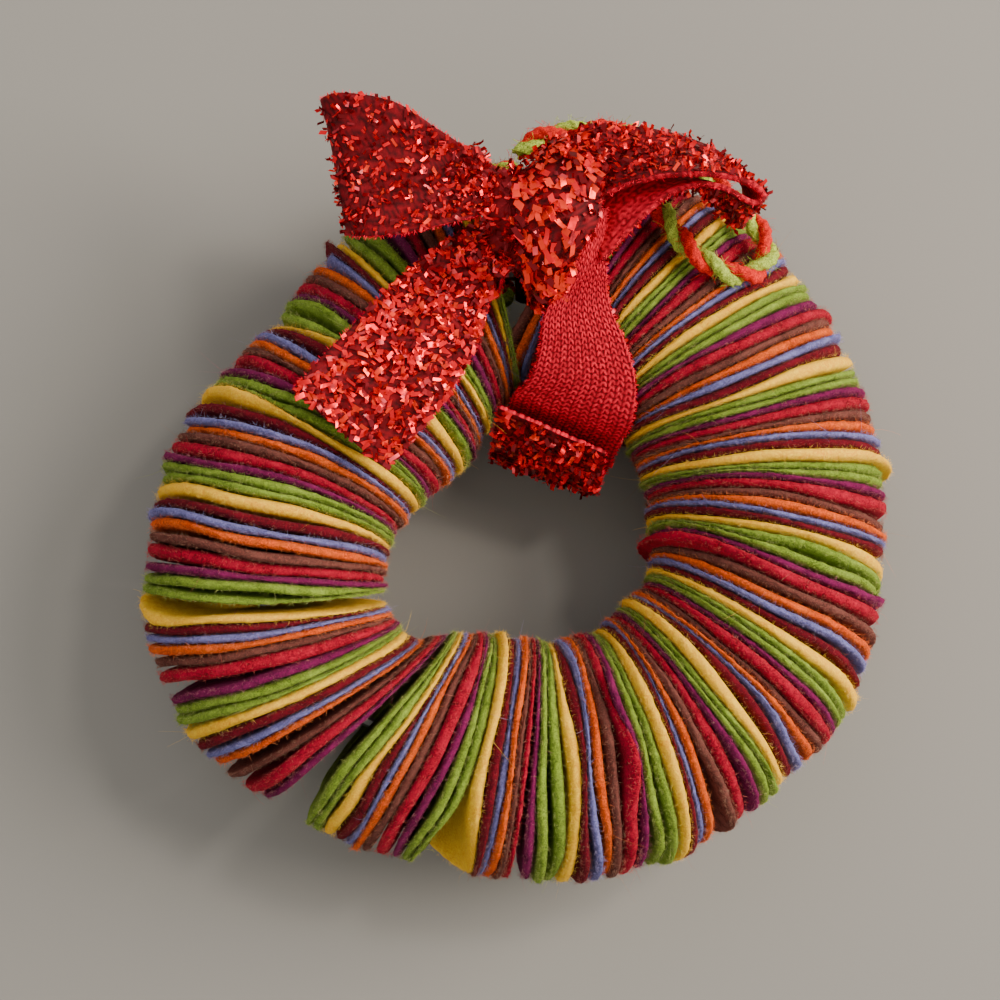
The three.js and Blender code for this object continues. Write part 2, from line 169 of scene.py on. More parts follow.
@dataclass(frozen=True)
class WoolFelt(Finish):
    """Needled wool felt, pressed from dyed fibres: matt, soft edged, with lighter fibres lying over darker ones."""

    dyed: str
    deep: str
    lit: str
    # Painted highlight: the pale tone that patches the loose fibres, for the light that they catch.
    painted_fibre_highlight: str = "F2D2A8"
    fibre_mm: float = 0.42
    cloud_mm: float = 1.9

    def loose(self) -> WoolFelt:
        """This felt's loose fibres in its lit tone with pale patches, a painted highlight of the light they catch."""
        return WoolFelt(f"{self.name} loose fibres", self.lit, self.dyed, self.painted_fibre_highlight, fibre_mm=0.3, cloud_mm=0.6)

    def surface(self, tree: Tree, place: Socket) -> Socket:
        """Mix the felt's colours by strand and by patch, and raise its fibres.

        Args:
            tree: The material's node tree.
            place: Each point's place on the object.

        Returns:
            The surface's socket.
        """
        # Real fibres are 0.03 mm thick, so they are drawn over ten times as coarse to show.
        fibres = add_node(
            tree,
            "ShaderNodeTexNoise",
            {"Vector": place, "Scale": per_metre(self.fibre_mm), "Detail": 4.0, "Roughness": 0.7, "Distortion": 1.6},
        ).outputs["Fac"]
        clouds = add_node(
            tree,
            "ShaderNodeTexNoise",
            {"Vector": place, "Scale": per_metre(self.cloud_mm), "Detail": 2.0, "Roughness": 0.5},
        ).outputs["Fac"]
        strands = add_node(tree, "ShaderNodeMapRange", {"Value": fibres, "From Min": 0.4, "From Max": 0.6})
        patches = add_node(
            tree, "ShaderNodeMapRange", {"Value": clouds, "From Min": 0.3, "From Max": 0.7, "To Max": 0.35}
        )
        ground = add_node(
            tree,
            "ShaderNodeMix",
            {"Factor": strands.outputs[0], MIX_A: linear_colour(self.deep), MIX_B: linear_colour(self.dyed)},
            data_type="RGBA",
        )
        colour = add_node(
            tree,
            "ShaderNodeMix",
            {"Factor": patches.outputs[0], MIX_A: ground.outputs[MIXED], MIX_B: linear_colour(self.lit)},
            data_type="RGBA",
        )
        bump = add_node(tree, "ShaderNodeBump", {"Height": fibres, "Strength": 1.0, "Distance": 0.3 * MM})
        dressed = {
            "Base Color": colour.outputs[MIXED],
            "Roughness": 0.94,
            "Specular IOR Level": 0.18,
            "Sheen Weight": 0.08,
            "Sheen Roughness": 0.4,
            "Sheen Tint": linear_colour(self.dyed),
            "Normal": bump.outputs[0],
        }
        return add_node(tree, "ShaderNodeBsdfPrincipled", dressed).outputs[0]


@dataclass(frozen=True)
class TintedFoil(Finish):
    """Aluminised polyester film with a red lacquer, slit into flakes: a mirror with a colour, bright only by chance."""

    lacquer: str
    roughness: float
    gloss_coat: float
    crumple_mm: float = 0.7

    def surface(self, tree: Tree, place: Socket) -> Socket:
        """Crumple the foil and coat it.

        Args:
            tree: The material's node tree.
            place: Each point's place on the object.

        Returns:
            The surface's socket.
        """
        crumple = add_node(
            tree, "ShaderNodeTexNoise", {"Vector": place, "Scale": per_metre(self.crumple_mm), "Detail": 1.0}
        )
        bump = add_node(
            tree, "ShaderNodeBump", {"Height": crumple.outputs["Fac"], "Strength": 0.35, "Distance": 0.1 * MM}
        )
        dressed = {
            "Base Color": linear_colour(self.lacquer),
            "Metallic": 0.8,
            "Roughness": self.roughness,
            "Coat Weight": self.gloss_coat,
            "Coat Roughness": 0.12,
            "Normal": bump.outputs[0],
        }
        return add_node(tree, "ShaderNodeBsdfPrincipled", dressed).outputs[0]


@dataclass(frozen=True)
class KnittedPolyester(Finish):
    """Fine weft knit of bright polyester, the ribbon's ground, with painted shade between its pink red stitches."""

    stitch: str
    between: str
    thread_mm: float = 0.5 / 3

    def surface(self, tree: Tree, place: Socket) -> Socket:
        """Colour the knit by its crest attribute, one on a stitch and zero between: painted shade in the hollows.

        Args:
            tree: The material's node tree.
            place: Each point's place on the object.

        Returns:
            The surface's socket.
        """
        crest = add_node(tree, "ShaderNodeAttribute", attribute_name="crest").outputs["Fac"]
        # The filaments of a thread are 0.02 mm thick, so they are drawn eight times as coarse to show.
        threads = add_node(
            tree,
            "ShaderNodeTexNoise",
            {"Vector": place, "Scale": per_metre(self.thread_mm), "Detail": 2.0, "Distortion": 0.8},
        ).outputs["Fac"]
        uneven = add_node(tree, "ShaderNodeMath", {0: threads, 1: 0.5, 2: -0.25}, operation="MULTIPLY_ADD")
        height = add_node(tree, "ShaderNodeMath", {0: crest, 1: uneven.outputs[0]}, operation="ADD", use_clamp=True)
        # Painted shade: the colour darkens from the stitches' crests to the hollows between them.
        colour = add_node(
            tree,
            "ShaderNodeMix",
            {"Factor": height.outputs[0], MIX_A: linear_colour(self.between), MIX_B: linear_colour(self.stitch)},
            data_type="RGBA",
        )
        bump = add_node(tree, "ShaderNodeBump", {"Height": threads, "Strength": 0.5, "Distance": 0.08 * MM})
        dressed = {
            "Base Color": colour.outputs[MIXED],
            "Roughness": 0.8,
            "Specular IOR Level": 0.22,
            "Normal": bump.outputs[0],
        }
        return add_node(tree, "ShaderNodeBsdfPrincipled", dressed).outputs[0]


@dataclass(frozen=True)
class SpunAcrylic(Finish):
    """Soft spun yarn: fuzzy fibres that lie along the ply, with a pale bloom where they catch the light."""

    dyed: str
    deep: str
    fibre_mm: float = 0.2

    def surface(self, tree: Tree, place: Socket) -> Socket:
        """Mix the yarn's two colours by its fibres, and raise them.

        Args:
            tree: The material's node tree.
            place: Each point's place on the object.

        Returns:
            The surface's socket.
        """
        # Spun fibres are 0.02 mm thick, so they are drawn ten times as coarse to show.
        fibres = add_node(
            tree,
            "ShaderNodeTexNoise",
            {"Vector": place, "Scale": per_metre(self.fibre_mm), "Detail": 3.0, "Distortion": 1.5},
        ).outputs["Fac"]
        spread = add_node(tree, "ShaderNodeMapRange", {"Value": fibres, "From Min": 0.35, "From Max": 0.62})
        colour = add_node(
            tree,
            "ShaderNodeMix",
            {"Factor": spread.outputs[0], MIX_A: linear_colour(self.deep), MIX_B: linear_colour(self.dyed)},
            data_type="RGBA",
        )
        bump = add_node(tree, "ShaderNodeBump", {"Height": fibres, "Strength": 0.8, "Distance": 0.12 * MM})
        dressed = {
            "Base Color": colour.outputs[MIXED],
            "Roughness": 0.9,
            "Specular IOR Level": 0.25,
            "Sheen Weight": 0.15,
            "Sheen Tint": linear_colour(self.dyed),
            "Normal": bump.outputs[0],
        }
        return add_node(tree, "ShaderNodeBsdfPrincipled", dressed).outputs[0]


@dataclass(frozen=True)
class GalvanisedWire(Finish):
    """Drawn steel wire with a zinc coat: grey, half bright, with a faint spangle."""

    name: str = "galvanised craft wire"
    zinc: str = "8F8F8C"
    spangle_mm: float = 0.4

    def surface(self, tree: Tree, place: Socket) -> Socket:
        """Make the zinc rougher and smoother by its spangle.

        Args:
            tree: The material's node tree.
            place: Each point's place on the object.

        Returns:
            The surface's socket.
        """
        spangle = add_node(
            tree, "ShaderNodeTexNoise", {"Vector": place, "Scale": per_metre(self.spangle_mm), "Detail": 2.0}
        )
        rough = add_node(
            tree, "ShaderNodeMapRange", {"Value": spangle.outputs["Fac"], "To Min": 0.28, "To Max": 0.5}
        )
        dressed = {"Base Color": linear_colour(self.zinc), "Metallic": 1.0, "Roughness": rough.outputs[0]}
        return add_node(tree, "ShaderNodeBsdfPrincipled", dressed).outputs[0]


@dataclass(frozen=True)
class PaintedBoard(Finish):
    """The table's board: matt pale paint with a barely seen tooth."""

    name: str = "pale painted board"
    paint: str = "7F7E7A"
    tooth_mm: float = 0.8

    def surface(self, tree: Tree, place: Socket) -> Socket:
        """Give the paint its tooth.

        Args:
            tree: The material's node tree.
            place: Each point's place on the object.

        Returns:
            The surface's socket.
        """
        tooth = add_node(
            tree, "ShaderNodeTexNoise", {"Vector": place, "Scale": per_metre(self.tooth_mm), "Detail": 2.0}
        )
        bump = add_node(
            tree, "ShaderNodeBump", {"Height": tooth.outputs["Fac"], "Strength": 0.08, "Distance": 0.05 * MM}
        )
        dressed = {"Base Color": linear_colour(self.paint), "Roughness": 0.75, "Normal": bump.outputs[0]}
        return add_node(tree, "ShaderNodeBsdfPrincipled", dressed).outputs[0]


LEAF_GREEN = WoolFelt("wool felt leaf green", "7C962C", "445A14", "A8C450")
FELTS = (
    WoolFelt("wool felt yellow", "FFCC2A", "EC9E22", "FFD84C"),
    WoolFelt("wool felt dark red", "6A0418", "340008", "90142C"),
    WoolFelt("wool felt periwinkle", "7672AC", "403E6C", "9C9CE0"),
    WoolFelt("wool felt orange", "EA560E", "943006", "FC7C2C"),
    WoolFelt("wool felt brown", "703A32", "3E201A", "945A50"),
    WoolFelt("wool felt red", "AE0028", "58000E", "D61A42"),
    WoolFelt("wool felt purple", "720C46", "3E0428", "A4266E"),
    LEAF_GREEN,
    LEAF_GREEN,
)
# The share of a pack's length that a disc of each felt takes.
FELT_SHARES = (1.3, 1.0, 0.78, 0.97, 0.88, 1.28, 0.82, 0.92, 0.92)
YELLOW, BROWN, PURPLE, GREEN = 0, 4, 6, 7
# Each knit's second colour is painted shade, laid between its stitches.
KNITS = (
    KnittedPolyester("knitted ground under the flakes", "8C0014", "400006"),
    KnittedPolyester("knitted ribbon back", "F40836", "6E000E"),
)
GROUND, BACK = 0, 1
FOILS = (
    TintedFoil("foil flake red", "F4041E", 0.34, 0.1),
    TintedFoil("foil flake orange red", "FF3418", 0.4, 0.1),
    TintedFoil("foil flake deep red", "7C0010", 0.28, 0.2),
    TintedFoil("foil flake pink", "F84450", 0.34, 0.3),
)
# A piece of flakes has the foils' finishes, and the knit's for the threads that fray from the ribbon's edges.
GLITTER = (*FOILS, KNITS[BACK])
THREAD = len(FOILS)
PLIES = (
    SpunAcrylic("spun yarn red", "E81E10", "86080A"),
    SpunAcrylic("spun yarn light green", "B8CC50", "5C7418"),
)


def unit(rows: np.ndarray) -> np.ndarray:
    """Scale each row to a length of one."""
    return rows / np.maximum(np.linalg.norm(rows, axis=-1, keepdims=True), 1e-12)


def distance_along(line: np.ndarray) -> np.ndarray:
    """Measure how far along a line of points each of them lies."""
    return np.concatenate([[0], np.cumsum(np.linalg.norm(np.diff(line, axis=0), axis=1))])


def grid_faces(rows: int, columns: int, wrap_rows: bool = False, wrap_columns: bool = False) -> np.ndarray:
    """List the four-cornered faces of a grid of points.

    Args:
        rows: How many rows of points.
        columns: How many points in a row.
        wrap_rows: Whether the last row joins the first.
        wrap_columns: Whether each row closes on itself.

    Returns:
        One row of four point numbers for each face.
    """
    i, j = np.meshgrid(
        np.arange(rows if wrap_rows else rows - 1), np.arange(columns if wrap_columns else columns - 1), indexing="ij"
    )
    k, m = (i + 1) % rows, (j + 1) % columns
    return np.stack([i * columns + j, i * columns + m, k * columns + m, k * columns + j], axis=-1).reshape(-1, 4)


def spline(points: np.ndarray, where: np.ndarray) -> np.ndarray:
    """Run a Catmull-Rom curve through some points.

    Args:
        points: The points, one row each.
        where: Places along the curve, counted in points from the first.

    Returns:
        One point for each place.
    """
    last = len(points) - 1
    low = np.clip(np.floor(where).astype(int), 0, last - 1)
    t = (where - low)[:, None]
    p0 = np.where((low > 0)[:, None], points[np.maximum(low - 1, 0)], 2 * points[low] - points[low + 1])
    p1, p2 = points[low], points[low + 1]
    p3 = np.where((low < last - 1)[:, None], points[np.minimum(low + 2, last)], 2 * p2 - p1)
    return 0.5 * (
        2 * p1 + (p2 - p0) * t + (2 * p0 - 5 * p1 + 4 * p2 - p3) * t**2 + (3 * p1 - p0 - 3 * p2 + p3) * t**3
    )


class SlowNoise:
    """A smooth seeded wander along one number, from minus one to one."""

    def __init__(self, seed: int, step: float) -> None:
        """Draw the values that the wander passes through, one for each step."""
        self._values = np.random.default_rng(seed).uniform(-1, 1, 512)
        self._step = step

    def at(self, where: np.ndarray | float) -> np.ndarray:
        """Read the wander.

        Args:
            where: Places along it.

        Returns:
            Its value at each place.
        """
        x = np.asarray(where, float) / self._step + 137.0
        low = np.floor(x).astype(int)
        part = x - low
        blend = part * part * (3 - 2 * part)
        return self._values[low % 512] * (1 - blend) + self._values[(low + 1) % 512] * blend


@dataclass
class MeshPile:
    """Gathers the points and faces of one piece before its mesh is made."""

    points: list[np.ndarray] = field(default_factory=list)
    faces: list[tuple[int, ...]] = field(default_factory=list)
    finishes: list[int] = field(default_factory=list)
    crests: list[np.ndarray] = field(default_factory=list)
    count: int = 0
    hair_steps: tuple[float, ...] = (0.0, 0.4, 0.75, 1.0)

    def add(
        self, points: np.ndarray, faces: np.ndarray, finish: int | np.ndarray, crest: np.ndarray | float = 0.5
    ) -> None:
        """Add some points and the faces among them.

        Args:
            points: One row of x, y and z for each point, in mm.
            faces: One row of point numbers for each face.
            finish: The finish's number, for all faces or one for each.
            crest: How far each point stands on a stitch, from zero to one.
        """
        self.points.append(points)
        self.faces.extend(map(tuple, (faces + self.count).tolist()))
        self.finishes.extend(np.broadcast_to(finish, len(faces)).tolist())
        self.crests.append(np.broadcast_to(crest, len(points)))
        self.count += len(points)

    def add_tube(self, rings: np.ndarray, ends: Sequence[np.ndarray], finish: int) -> None:
        """Add a tube that a point closes at each end.

        Args:
            rings: The tube's points, ring by ring.
            ends: The two points that close it.
            finish: The finish's number.
        """
        count, sides = rings.shape[:2]
        self.add(np.concatenate([rings.reshape(-1, 3), ends]), grid_faces(count, sides, False, True), finish)
        start, end = self.count - 2, self.count - 1
        first, last = start - count * sides, start - sides
        for k in range(sides):
            after = (k + 1) % sides
            self.faces += [(start, first + after, first + k), (end, last + k, last + after)]
        self.finishes += [finish] * (2 * sides)

    def add_blades(
        self,
        spines: Sequence[np.ndarray],
        halves: Sequence[np.ndarray],
        finish: int | np.ndarray,
        crest: float = 0.5,
        lowest: float = -math.inf,
    ) -> None:
        """Add many thin blades, such as loose fibres or flakes.

        Args:
            spines: The middle points of all the blades, step by step from one end to the other.
            halves: The way from the middle to an edge at each step.
            finish: The finish's number, for all blades or one for each.
            crest: How far they stand on a stitch.
            lowest: The height that no point goes under.
        """
        blades, steps = len(spines[0]), len(spines)
        points = np.stack([edge for mid, half in zip(spines, halves) for edge in (mid - half, mid + half)], 1)
        points[..., 2] = np.maximum(points[..., 2], lowest)
        ladder = np.array([0, 1, 3, 2]) + 2 * np.arange(steps - 1)[:, None]
        faces = (ladder + 2 * steps * np.arange(blades)[:, None, None]).reshape(-1, 4)
        self.add(points.reshape(-1, 3), faces, np.repeat(np.broadcast_to(finish, blades), steps - 1), crest)

    def add_hairs(
        self,
        root: np.ndarray,
        lean: np.ndarray,
        curl: np.ndarray,
        length: np.ndarray,
        half_width: float,
        taper: float,
        finish: int,
        lowest: float = -math.inf,
    ) -> None:
        """Add loose fibres.

        Args:
            root: Where each starts.
            lean: The way it sets out.
            curl: The way it turns to.
            length: Its length.
            half_width: Half its width at the root.
            taper: The share of the width that it loses.
            finish: The finish's number on all of them.
            lowest: The height that no point goes under.
        """
        flat = unit(np.cross(lean, curl)) * half_width
        spines = [root + (lean * step + curl * step**2) * length[:, None] for step in self.hair_steps]
        self.add_blades(spines, [flat * (1 - taper * step) for step in self.hair_steps], finish, lowest=lowest)


@dataclass
class Bench:
    """Keeps each finish once it is made, and turns piles of faces to pieces.

    Its origin is where the drawing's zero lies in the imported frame, in metres.
    """

    origin: Vector
    made: dict[str, bpy.types.Material] = field(default_factory=dict)

    def material(self, finish: Finish) -> bpy.types.Material:
        """Hand out a finish's material, built on first use."""
        self.made[finish.name] = self.made.get(finish.name) or finish.build()
        return self.made[finish.name]

    def packed(self, points: np.ndarray | Sequence[Point]) -> np.ndarray:
        """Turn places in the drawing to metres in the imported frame."""
        return np.array(points) * MM + np.array(self.origin)

    def piece(self, name: str, pile: MeshPile, finishes: Sequence[Finish], slot: Slot) -> bpy.types.Object:
        """Make a piece.

        Args:
            name: Its name.
            pile: Its points and faces.
            finishes: Its finishes, in the order of the pile's numbers.
            slot: Not used.

        Returns:
            The new object.
        """
        mesh = bpy.data.meshes.new(name)
        mesh.from_pydata(self.packed(np.concatenate(pile.points)).tolist(), [], pile.faces)
        for finish in finishes:
            mesh.materials.append(self.material(finish))
        mesh.polygons.foreach_set("material_index", np.array(pile.finishes, dtype=np.int32))
        mesh.polygons.foreach_set("use_smooth", np.ones(len(pile.faces), dtype=bool))
        crest = mesh.attributes.new("crest", "FLOAT", "POINT")
        crest.data.foreach_set("value", np.concatenate(pile.crests).astype(np.float32))
        mesh.update()
        piece = bpy.data.objects.new(name, mesh)
        bpy.context.scene.collection.objects.link(piece)
        LOG.info("made %s", name)
        return piece


@dataclass(frozen=True)
class Stop:
    """The face before a disc: the wire's angle and reach there, the way the disc faces, and its lean."""

    disc: float
    at: float
    reach: float
    faces: float
    tilt: float


@dataclass(frozen=True)
class Curl:
    """A place where one disc, and less and less its neighbours, bends along the ring or stands out of the row.

    Angles on a disc count from its outermost point, up over its top, to the hole.
    """

    run: int
    disc: float
    turn: float
    spread: float
    along: float = 0.0
    proud_mm: float = 0.0
    neighbours: float = 0.6


@dataclass(frozen=True)
class Opening:
    """A place where the discs of a row part at their rims."""

    run: int
    before_disc: float
    discs_wide: float
    turn: float
    spread: float


@dataclass
class WireRing:
    """The hand bent wire, and the rows of discs that sit on it without a break."""

    ring_radius: float = 26.2
    height: float = 12.15
    runs: tuple[tuple[Stop, ...], ...] = (
        (
            Stop(0, 273.1, 0.984, 264.5, 2), Stop(3, 279, 1.01, 272.6, 5), Stop(12, 297.4, 1.05, 286.9, 10),
            Stop(21, 315.1, 1.052, 308, 8.5), Stop(30, 331.4, 1.078, 325.7, 9.3), Stop(39, 350.6, 1.026, 343.9, 12),
            Stop(48, 368.8, 1.018, 362.8, 7), Stop(57, 385.2, 1.006, 378.5, 6.5), Stop(66, 400.6, 1.008, 393.7, 8),
            Stop(75, 414.5, 1.014, 406.9, 9), Stop(84, 428.7, 1.006, 420.9, 8), Stop(89, 437.5, 0.994, 430, 7),
        ),
        (
            Stop(0, 95.7, 0.972, 104.9, -3), Stop(2, 98.5, 0.969, 106.7, -5), Stop(11, 118.3, 0.831, 126.8, -6.6),
            Stop(20, 140.2, 0.755, 144.3, -14), Stop(29, 162, 0.847, 151.5, -11.4),
            Stop(38, 180.2, 0.961, 166.4, -9.5), Stop(47, 197.2, 1.052, 180, 1.5),
        ),
        (
            Stop(0, 200, 1.072, 181, 1.5), Stop(9, 216.1, 1.103, 202, 4.2), Stop(13, 224.3, 1.085, 210.5, 3),
        ),
        (
            Stop(0, 226.2, 1.066, 213.5, 3), Stop(3, 232.9, 1.028, 223.5, 1.5),
        ),
        (
            Stop(0, 235.8, 1.018, 228, 1.5), Stop(2, 239.9, 1.014, 233.5, 1.6), Stop(11, 258.2, 0.967, 253.5, 7),
            Stop(17, 271.5, 0.987, 263, 3),
        ),
    )
    overrun: float = 2.0
    table_step: float = 0.1

    def __post_init__(self) -> None:
        """Work out each row's planes on a fine table."""
        stops = [stop for run in self.runs for stop in run]
        angle = np.radians([stop.at for stop in stops])
        reach = self.ring_radius * np.array([stop.reach for stop in stops])
        self._knots = np.stack([reach * np.cos(angle), reach * np.sin(angle), np.full(len(stops), self.height)], -1)
        self._tables = [self._table(run) for run in range(len(self.runs))]

    def on_wire(self, where: np.ndarray) -> np.ndarray:
        """Follow the wire's middle line, a closed centripetal curve.

        Args:
            where: Places along it, counted in stops.

        Returns:
            One point for each place.
        """
        low = np.floor(where).astype(int)
        t = (where - low)[:, None]
        p0, p1, p2, p3 = (self._knots[(low + k) % len(self._knots)] for k in (-1, 0, 1, 2))
        legs = ((p0, p1), (p1, p2), (p2, p3))
        d0, d1, d2 = (np.sqrt(np.linalg.norm(b - a, axis=-1, keepdims=True)) for a, b in legs)
        start = ((p1 - p0) / d0 - (p2 - p0) / (d0 + d1) + (p2 - p1) / d1) * d1
        end = ((p2 - p1) / d1 - (p3 - p1) / (d1 + d2) + (p3 - p2) / d2) * d1
        return p1 + start * t + (3 * (p2 - p1) - 2 * start - end) * t**2 + (2 * (p1 - p2) + start + end) * t**3

    def in_gap(self, after_middle: float, ahead: float) -> tuple[np.ndarray, np.ndarray, np.ndarray]:
        """Find a seat on the wire in the gap under the bow.

        Args:
            after_middle: How far the seat is past the gap's middle, as a share of the gap.
            ahead: How far ahead the way along the wire is taken, as a share of the gap.

        Returns:
            The seat, the way along the wire and the way out from the hole.
        """
        share = len(self.runs[0]) - 0.5 + after_middle
        seat, next_seat = self.on_wire(np.array([share, share + ahead]))
        along = unit(next_seat - seat)
        return seat, along, np.array([along[1], -along[0], 0.0])

    def _table(self, run: int) -> dict[str, np.ndarray]:
        """Tabulate one row.

        Args:
            run: The row's number.

        Returns:
            Places along the row in discs, with the wire's point and a disc's outward and upward ways at each.
        """
        stops = self.runs[run]
        first = sum(len(r) for r in self.runs[:run])
        discs = np.arange(-self.overrun, stops[-1].disc + self.overrun + self.table_step, self.table_step)
        marks = np.array([stop.disc for stop in stops], float)
        leg = np.clip(np.searchsorted(marks, discs, side="left") - 1, 0, len(stops) - 2)
        part = (discs - marks[leg]) / (marks[leg + 1] - marks[leg])
        faces, tilts = np.radians([(stop.faces, stop.tilt) for stop in stops]).T
        face = faces[leg] + (faces[leg + 1] - faces[leg]) * part
        tilt = tilts[leg] + (tilts[leg + 1] - tilts[leg]) * part
        nought = np.zeros_like(face)
        onward = np.stack([-np.sin(face), np.cos(face), nought], -1)
        up = onward * np.sin(tilt)[:, None] + np.stack([nought, nought, np.cos(tilt)], -1)
        out = np.stack([np.cos(face), np.sin(face), nought], -1)
        return {"disc": discs, "at": self.on_wire(first + leg + part), "out": out, "up": up}

    def place(self, run: int, disc: np.ndarray, radius: np.ndarray, turn: np.ndarray) -> np.ndarray:
        """Find points of a disc, lifted to the table where they would lie under it.

        Args:
            run: The row's number.
            disc: The place along the row, counted in discs.
            radius: The distance from the wire, in mm.
            turn: The angle on the disc, in radians from its outermost point up over its top.

        Returns:
            The points.
        """
        table = self._tables[run]
        steps = (disc - table["disc"][0]) / self.table_step
        low = np.clip(np.floor(steps).astype(int), 0, len(table["disc"]) - 2)
        part = (steps - low)[..., None]
        at, out, up = (table[k][low] * (1 - part) + table[k][low + 1] * part for k in ("at", "out", "up"))
        points = at + out * (radius * np.cos(turn))[..., None] + up * (radius * np.sin(turn))[..., None]
        points[..., 2] = np.maximum(points[..., 2], 0.0)
        return points


def lobe(turn: np.ndarray, middle: float, spread: float) -> np.ndarray:
    """A smooth bump over the angles on a disc, one at its middle and zero past its spread, both in degrees."""
    away = (np.degrees(turn) - middle + 180) % 360 - 180
    return np.where(np.abs(away) < spread, np.cos(np.radians(90) * away / spread) ** 2, 0.0)


@dataclass
class FeltRow:
    """All the felt discs, made pack by pack so that each pack stands for its own solid."""

    bench: Bench
    ring: WireRing
    disc_radius: float = 12.7
    bore_radius: float = 0.8
    felt_thickness: float = 1.17
    filled_share: float = 0.99
    turns: int = 156
    radius_spread: float = 0.2
    off_centre: float = 0.3
    rim_ripple: float = 0.1
    rim_roughness: float = 0.045
    rough_mm: float = 0.6
    edge_wander: float = 0.2
    bend_size: float = 0.55
    gap_reach: float = 4.5
    first_colours: tuple[int, ...] = (PURPLE, GREEN, YELLOW, BROWN, GREEN)
    hairs_per_disc: int = 1300
    hair_arc: tuple[float, float] = (-55.0, 235.0)
    hair_mm: float = 0.42
    hair_width: float = 0.03
    long_hairs: float = 0.003
    long_hair_mm: tuple[float, float] = (1.0, 2.8)
    hair_floor: float = 0.02
    curls: tuple[Curl, ...] = (
        Curl(0, 48.5, -22, 62, -0.9, 0.0, 0.5), Curl(0, 48.5, 8, 60, 0.0, 0.9, 0.5),
        Curl(0, 30.5, 0, 60, 0.0, 0.8, 0.5), Curl(0, 62.5, -10, 55, -0.7, 0.9, 0.5),
        Curl(0, 36.5, -2, 45, 0.9, 0.9, 0.5), Curl(0, 35.5, 176, 70, -1.1, 1.7, 0.45),
        Curl(0, 35.5, 118, 50, 0.4, 0.8, 0.5), Curl(0, 9.5, 118, 30, -0.8, 1.3, 0.5),
        Curl(0, 8.5, 92, 30, 0.5, 1.1, 0.5), Curl(0, 16.5, -28, 65, -1.5, 0.3, 0.45),
        Curl(0, 25.5, 20, 50, 0.3, 0.4, 0.8), Curl(0, 70.5, 15, 45, -0.3, 0.4, 0.8),
        Curl(0, 20.5, 60, 50, 0.5, 0.0, 1.6), Curl(0, 57.5, 100, 50, -0.5, 0.0, 1.6),
        Curl(0, 8.5, 110, 40, 0.5, 0.0, 1.8), Curl(1, 12.5, 25, 60, 0.3, 0.9, 0.5),
        Curl(1, 9.8, 30, 55, 0.2, 0.5, 0.8), Curl(1, 30.5, 10, 50, 0.2, 0.5, 0.6),
        Curl(1, 35.5, 15, 50, 0.0, 0.6, 0.8), Curl(2, 0.3, -25, 80, -2.6, 0.6, 0.4),
        Curl(2, 0.3, 40, 50, 0.7, 0.0, 0.5), Curl(3, 0.5, 0, 60, -0.3, 0.5, 0.5),
        Curl(4, 11.5, -40, 54, -2.9, 0.4, 0.5), Curl(4, 5.5, 10, 50, 0.2, 0.5, 0.6),
        Curl(1, 46.5, 100, 70, 1.2, 0.0, 0.6), Curl(0, 88.5, 180, 110, 3.4, 0.0, 2.4),
    )
    openings: tuple[Opening, ...] = (
        Opening(4, 11.0, 3.4, 14, 85), Opening(4, 0.0, 2.2, 0, 80), Opening(0, 16.0, 1.7, -8, 65),
        Opening(0, 40.0, 0.4, 5, 50), Opening(1, 14.0, 0.5, 20, 60), Opening(1, 26.0, 0.4, 10, 60),
        Opening(2, 6.0, 0.4, 0, 60),
    )
    # Each pair is the distance in from the rim, in mm, and the share of the half thickness there.
    profile: tuple[tuple[float, float], ...] = ((6.0, 1.0), (1.6, 0.96), (0.8, 0.88), (0.35, 0.72), (0.1, 0.42), (0, 0))

    def __post_init__(self) -> None:
        """Seed the slow bends that neighbouring discs share, and the wander of the line between two discs."""
        self._bends = [(m, SlowNoise(10 + m, 4.5), SlowNoise(40 + m, 9.0)) for m in (1, 2, 3)]
        self._lines = [(m, SlowNoise(70 + m, 1.0), SlowNoise(90 + m, 1.0)) for m in (2, 3, 5, 7)]

    def _line(self, run: int, place: float, edge: float, turn: np.ndarray) -> np.ndarray:
        """Let the line between two discs wander.

        Args:
            run: The row's number.
            place: The line's number in the row.
            edge: Its place along the row before it wanders, in discs.
            turn: The angles on the disc.

        Returns:
            Its place along the row at each angle.
        """
        length = self.ring.runs[run][-1].disc
        wander = np.zeros_like(turn)
        for times, size, phase in self._lines:
            angle = times * turn + math.pi * (1 + phase.at(place + 400.0 * run))
            wander = wander + size.at(place + 100.0 * run) * np.cos(angle) / times**0.5
        at_end = edge < 0.01 or edge > length - 0.01
        return edge + (0.0 if at_end else self.edge_wander) * wander

    def _bend(self, run: int, disc: np.ndarray, radius: np.ndarray, turn: np.ndarray) -> np.ndarray:
        """Shift places along a row by the bends, curls and openings of the felt.

        Args:
            run: The row's number.
            disc: The places, in discs.
            radius: Their distances from the wire.
            turn: Their angles on the disc.

        Returns:
            The shifted places.
        """
        far = (radius / self.disc_radius) ** 2
        length = self.ring.runs[run][-1].disc
        shift = np.zeros_like(disc)
        for times, size, phase in self._bends:
            angle = times * turn + 2.2 * math.pi * phase.at(disc + 300 * run)
            shift += self.bend_size / times**0.5 * size.at(disc + 200 * run) * np.cos(angle)
        # The ends of a row lie calmer than its middle.
        shift *= np.clip(np.minimum(disc, length - disc) / 3 + 0.25, 0.25, 1)
        for gap in (gap for gap in self.openings if gap.run == run):
            away = disc - gap.before_disc
            near = np.exp(-np.abs(away) / self.gap_reach) * lobe(turn, gap.turn, gap.spread)
            shift += gap.discs_wide / 2 * np.clip(2 * away, -1, 1) * near * far**0.5
        for curl in (curl for curl in self.curls if curl.run == run and curl.along):
            near = np.exp(-(((disc - curl.disc) / (curl.neighbours * 1.6)) ** 2))
            shift += curl.along * near * lobe(turn, curl.turn, curl.spread)
        return disc + shift * far

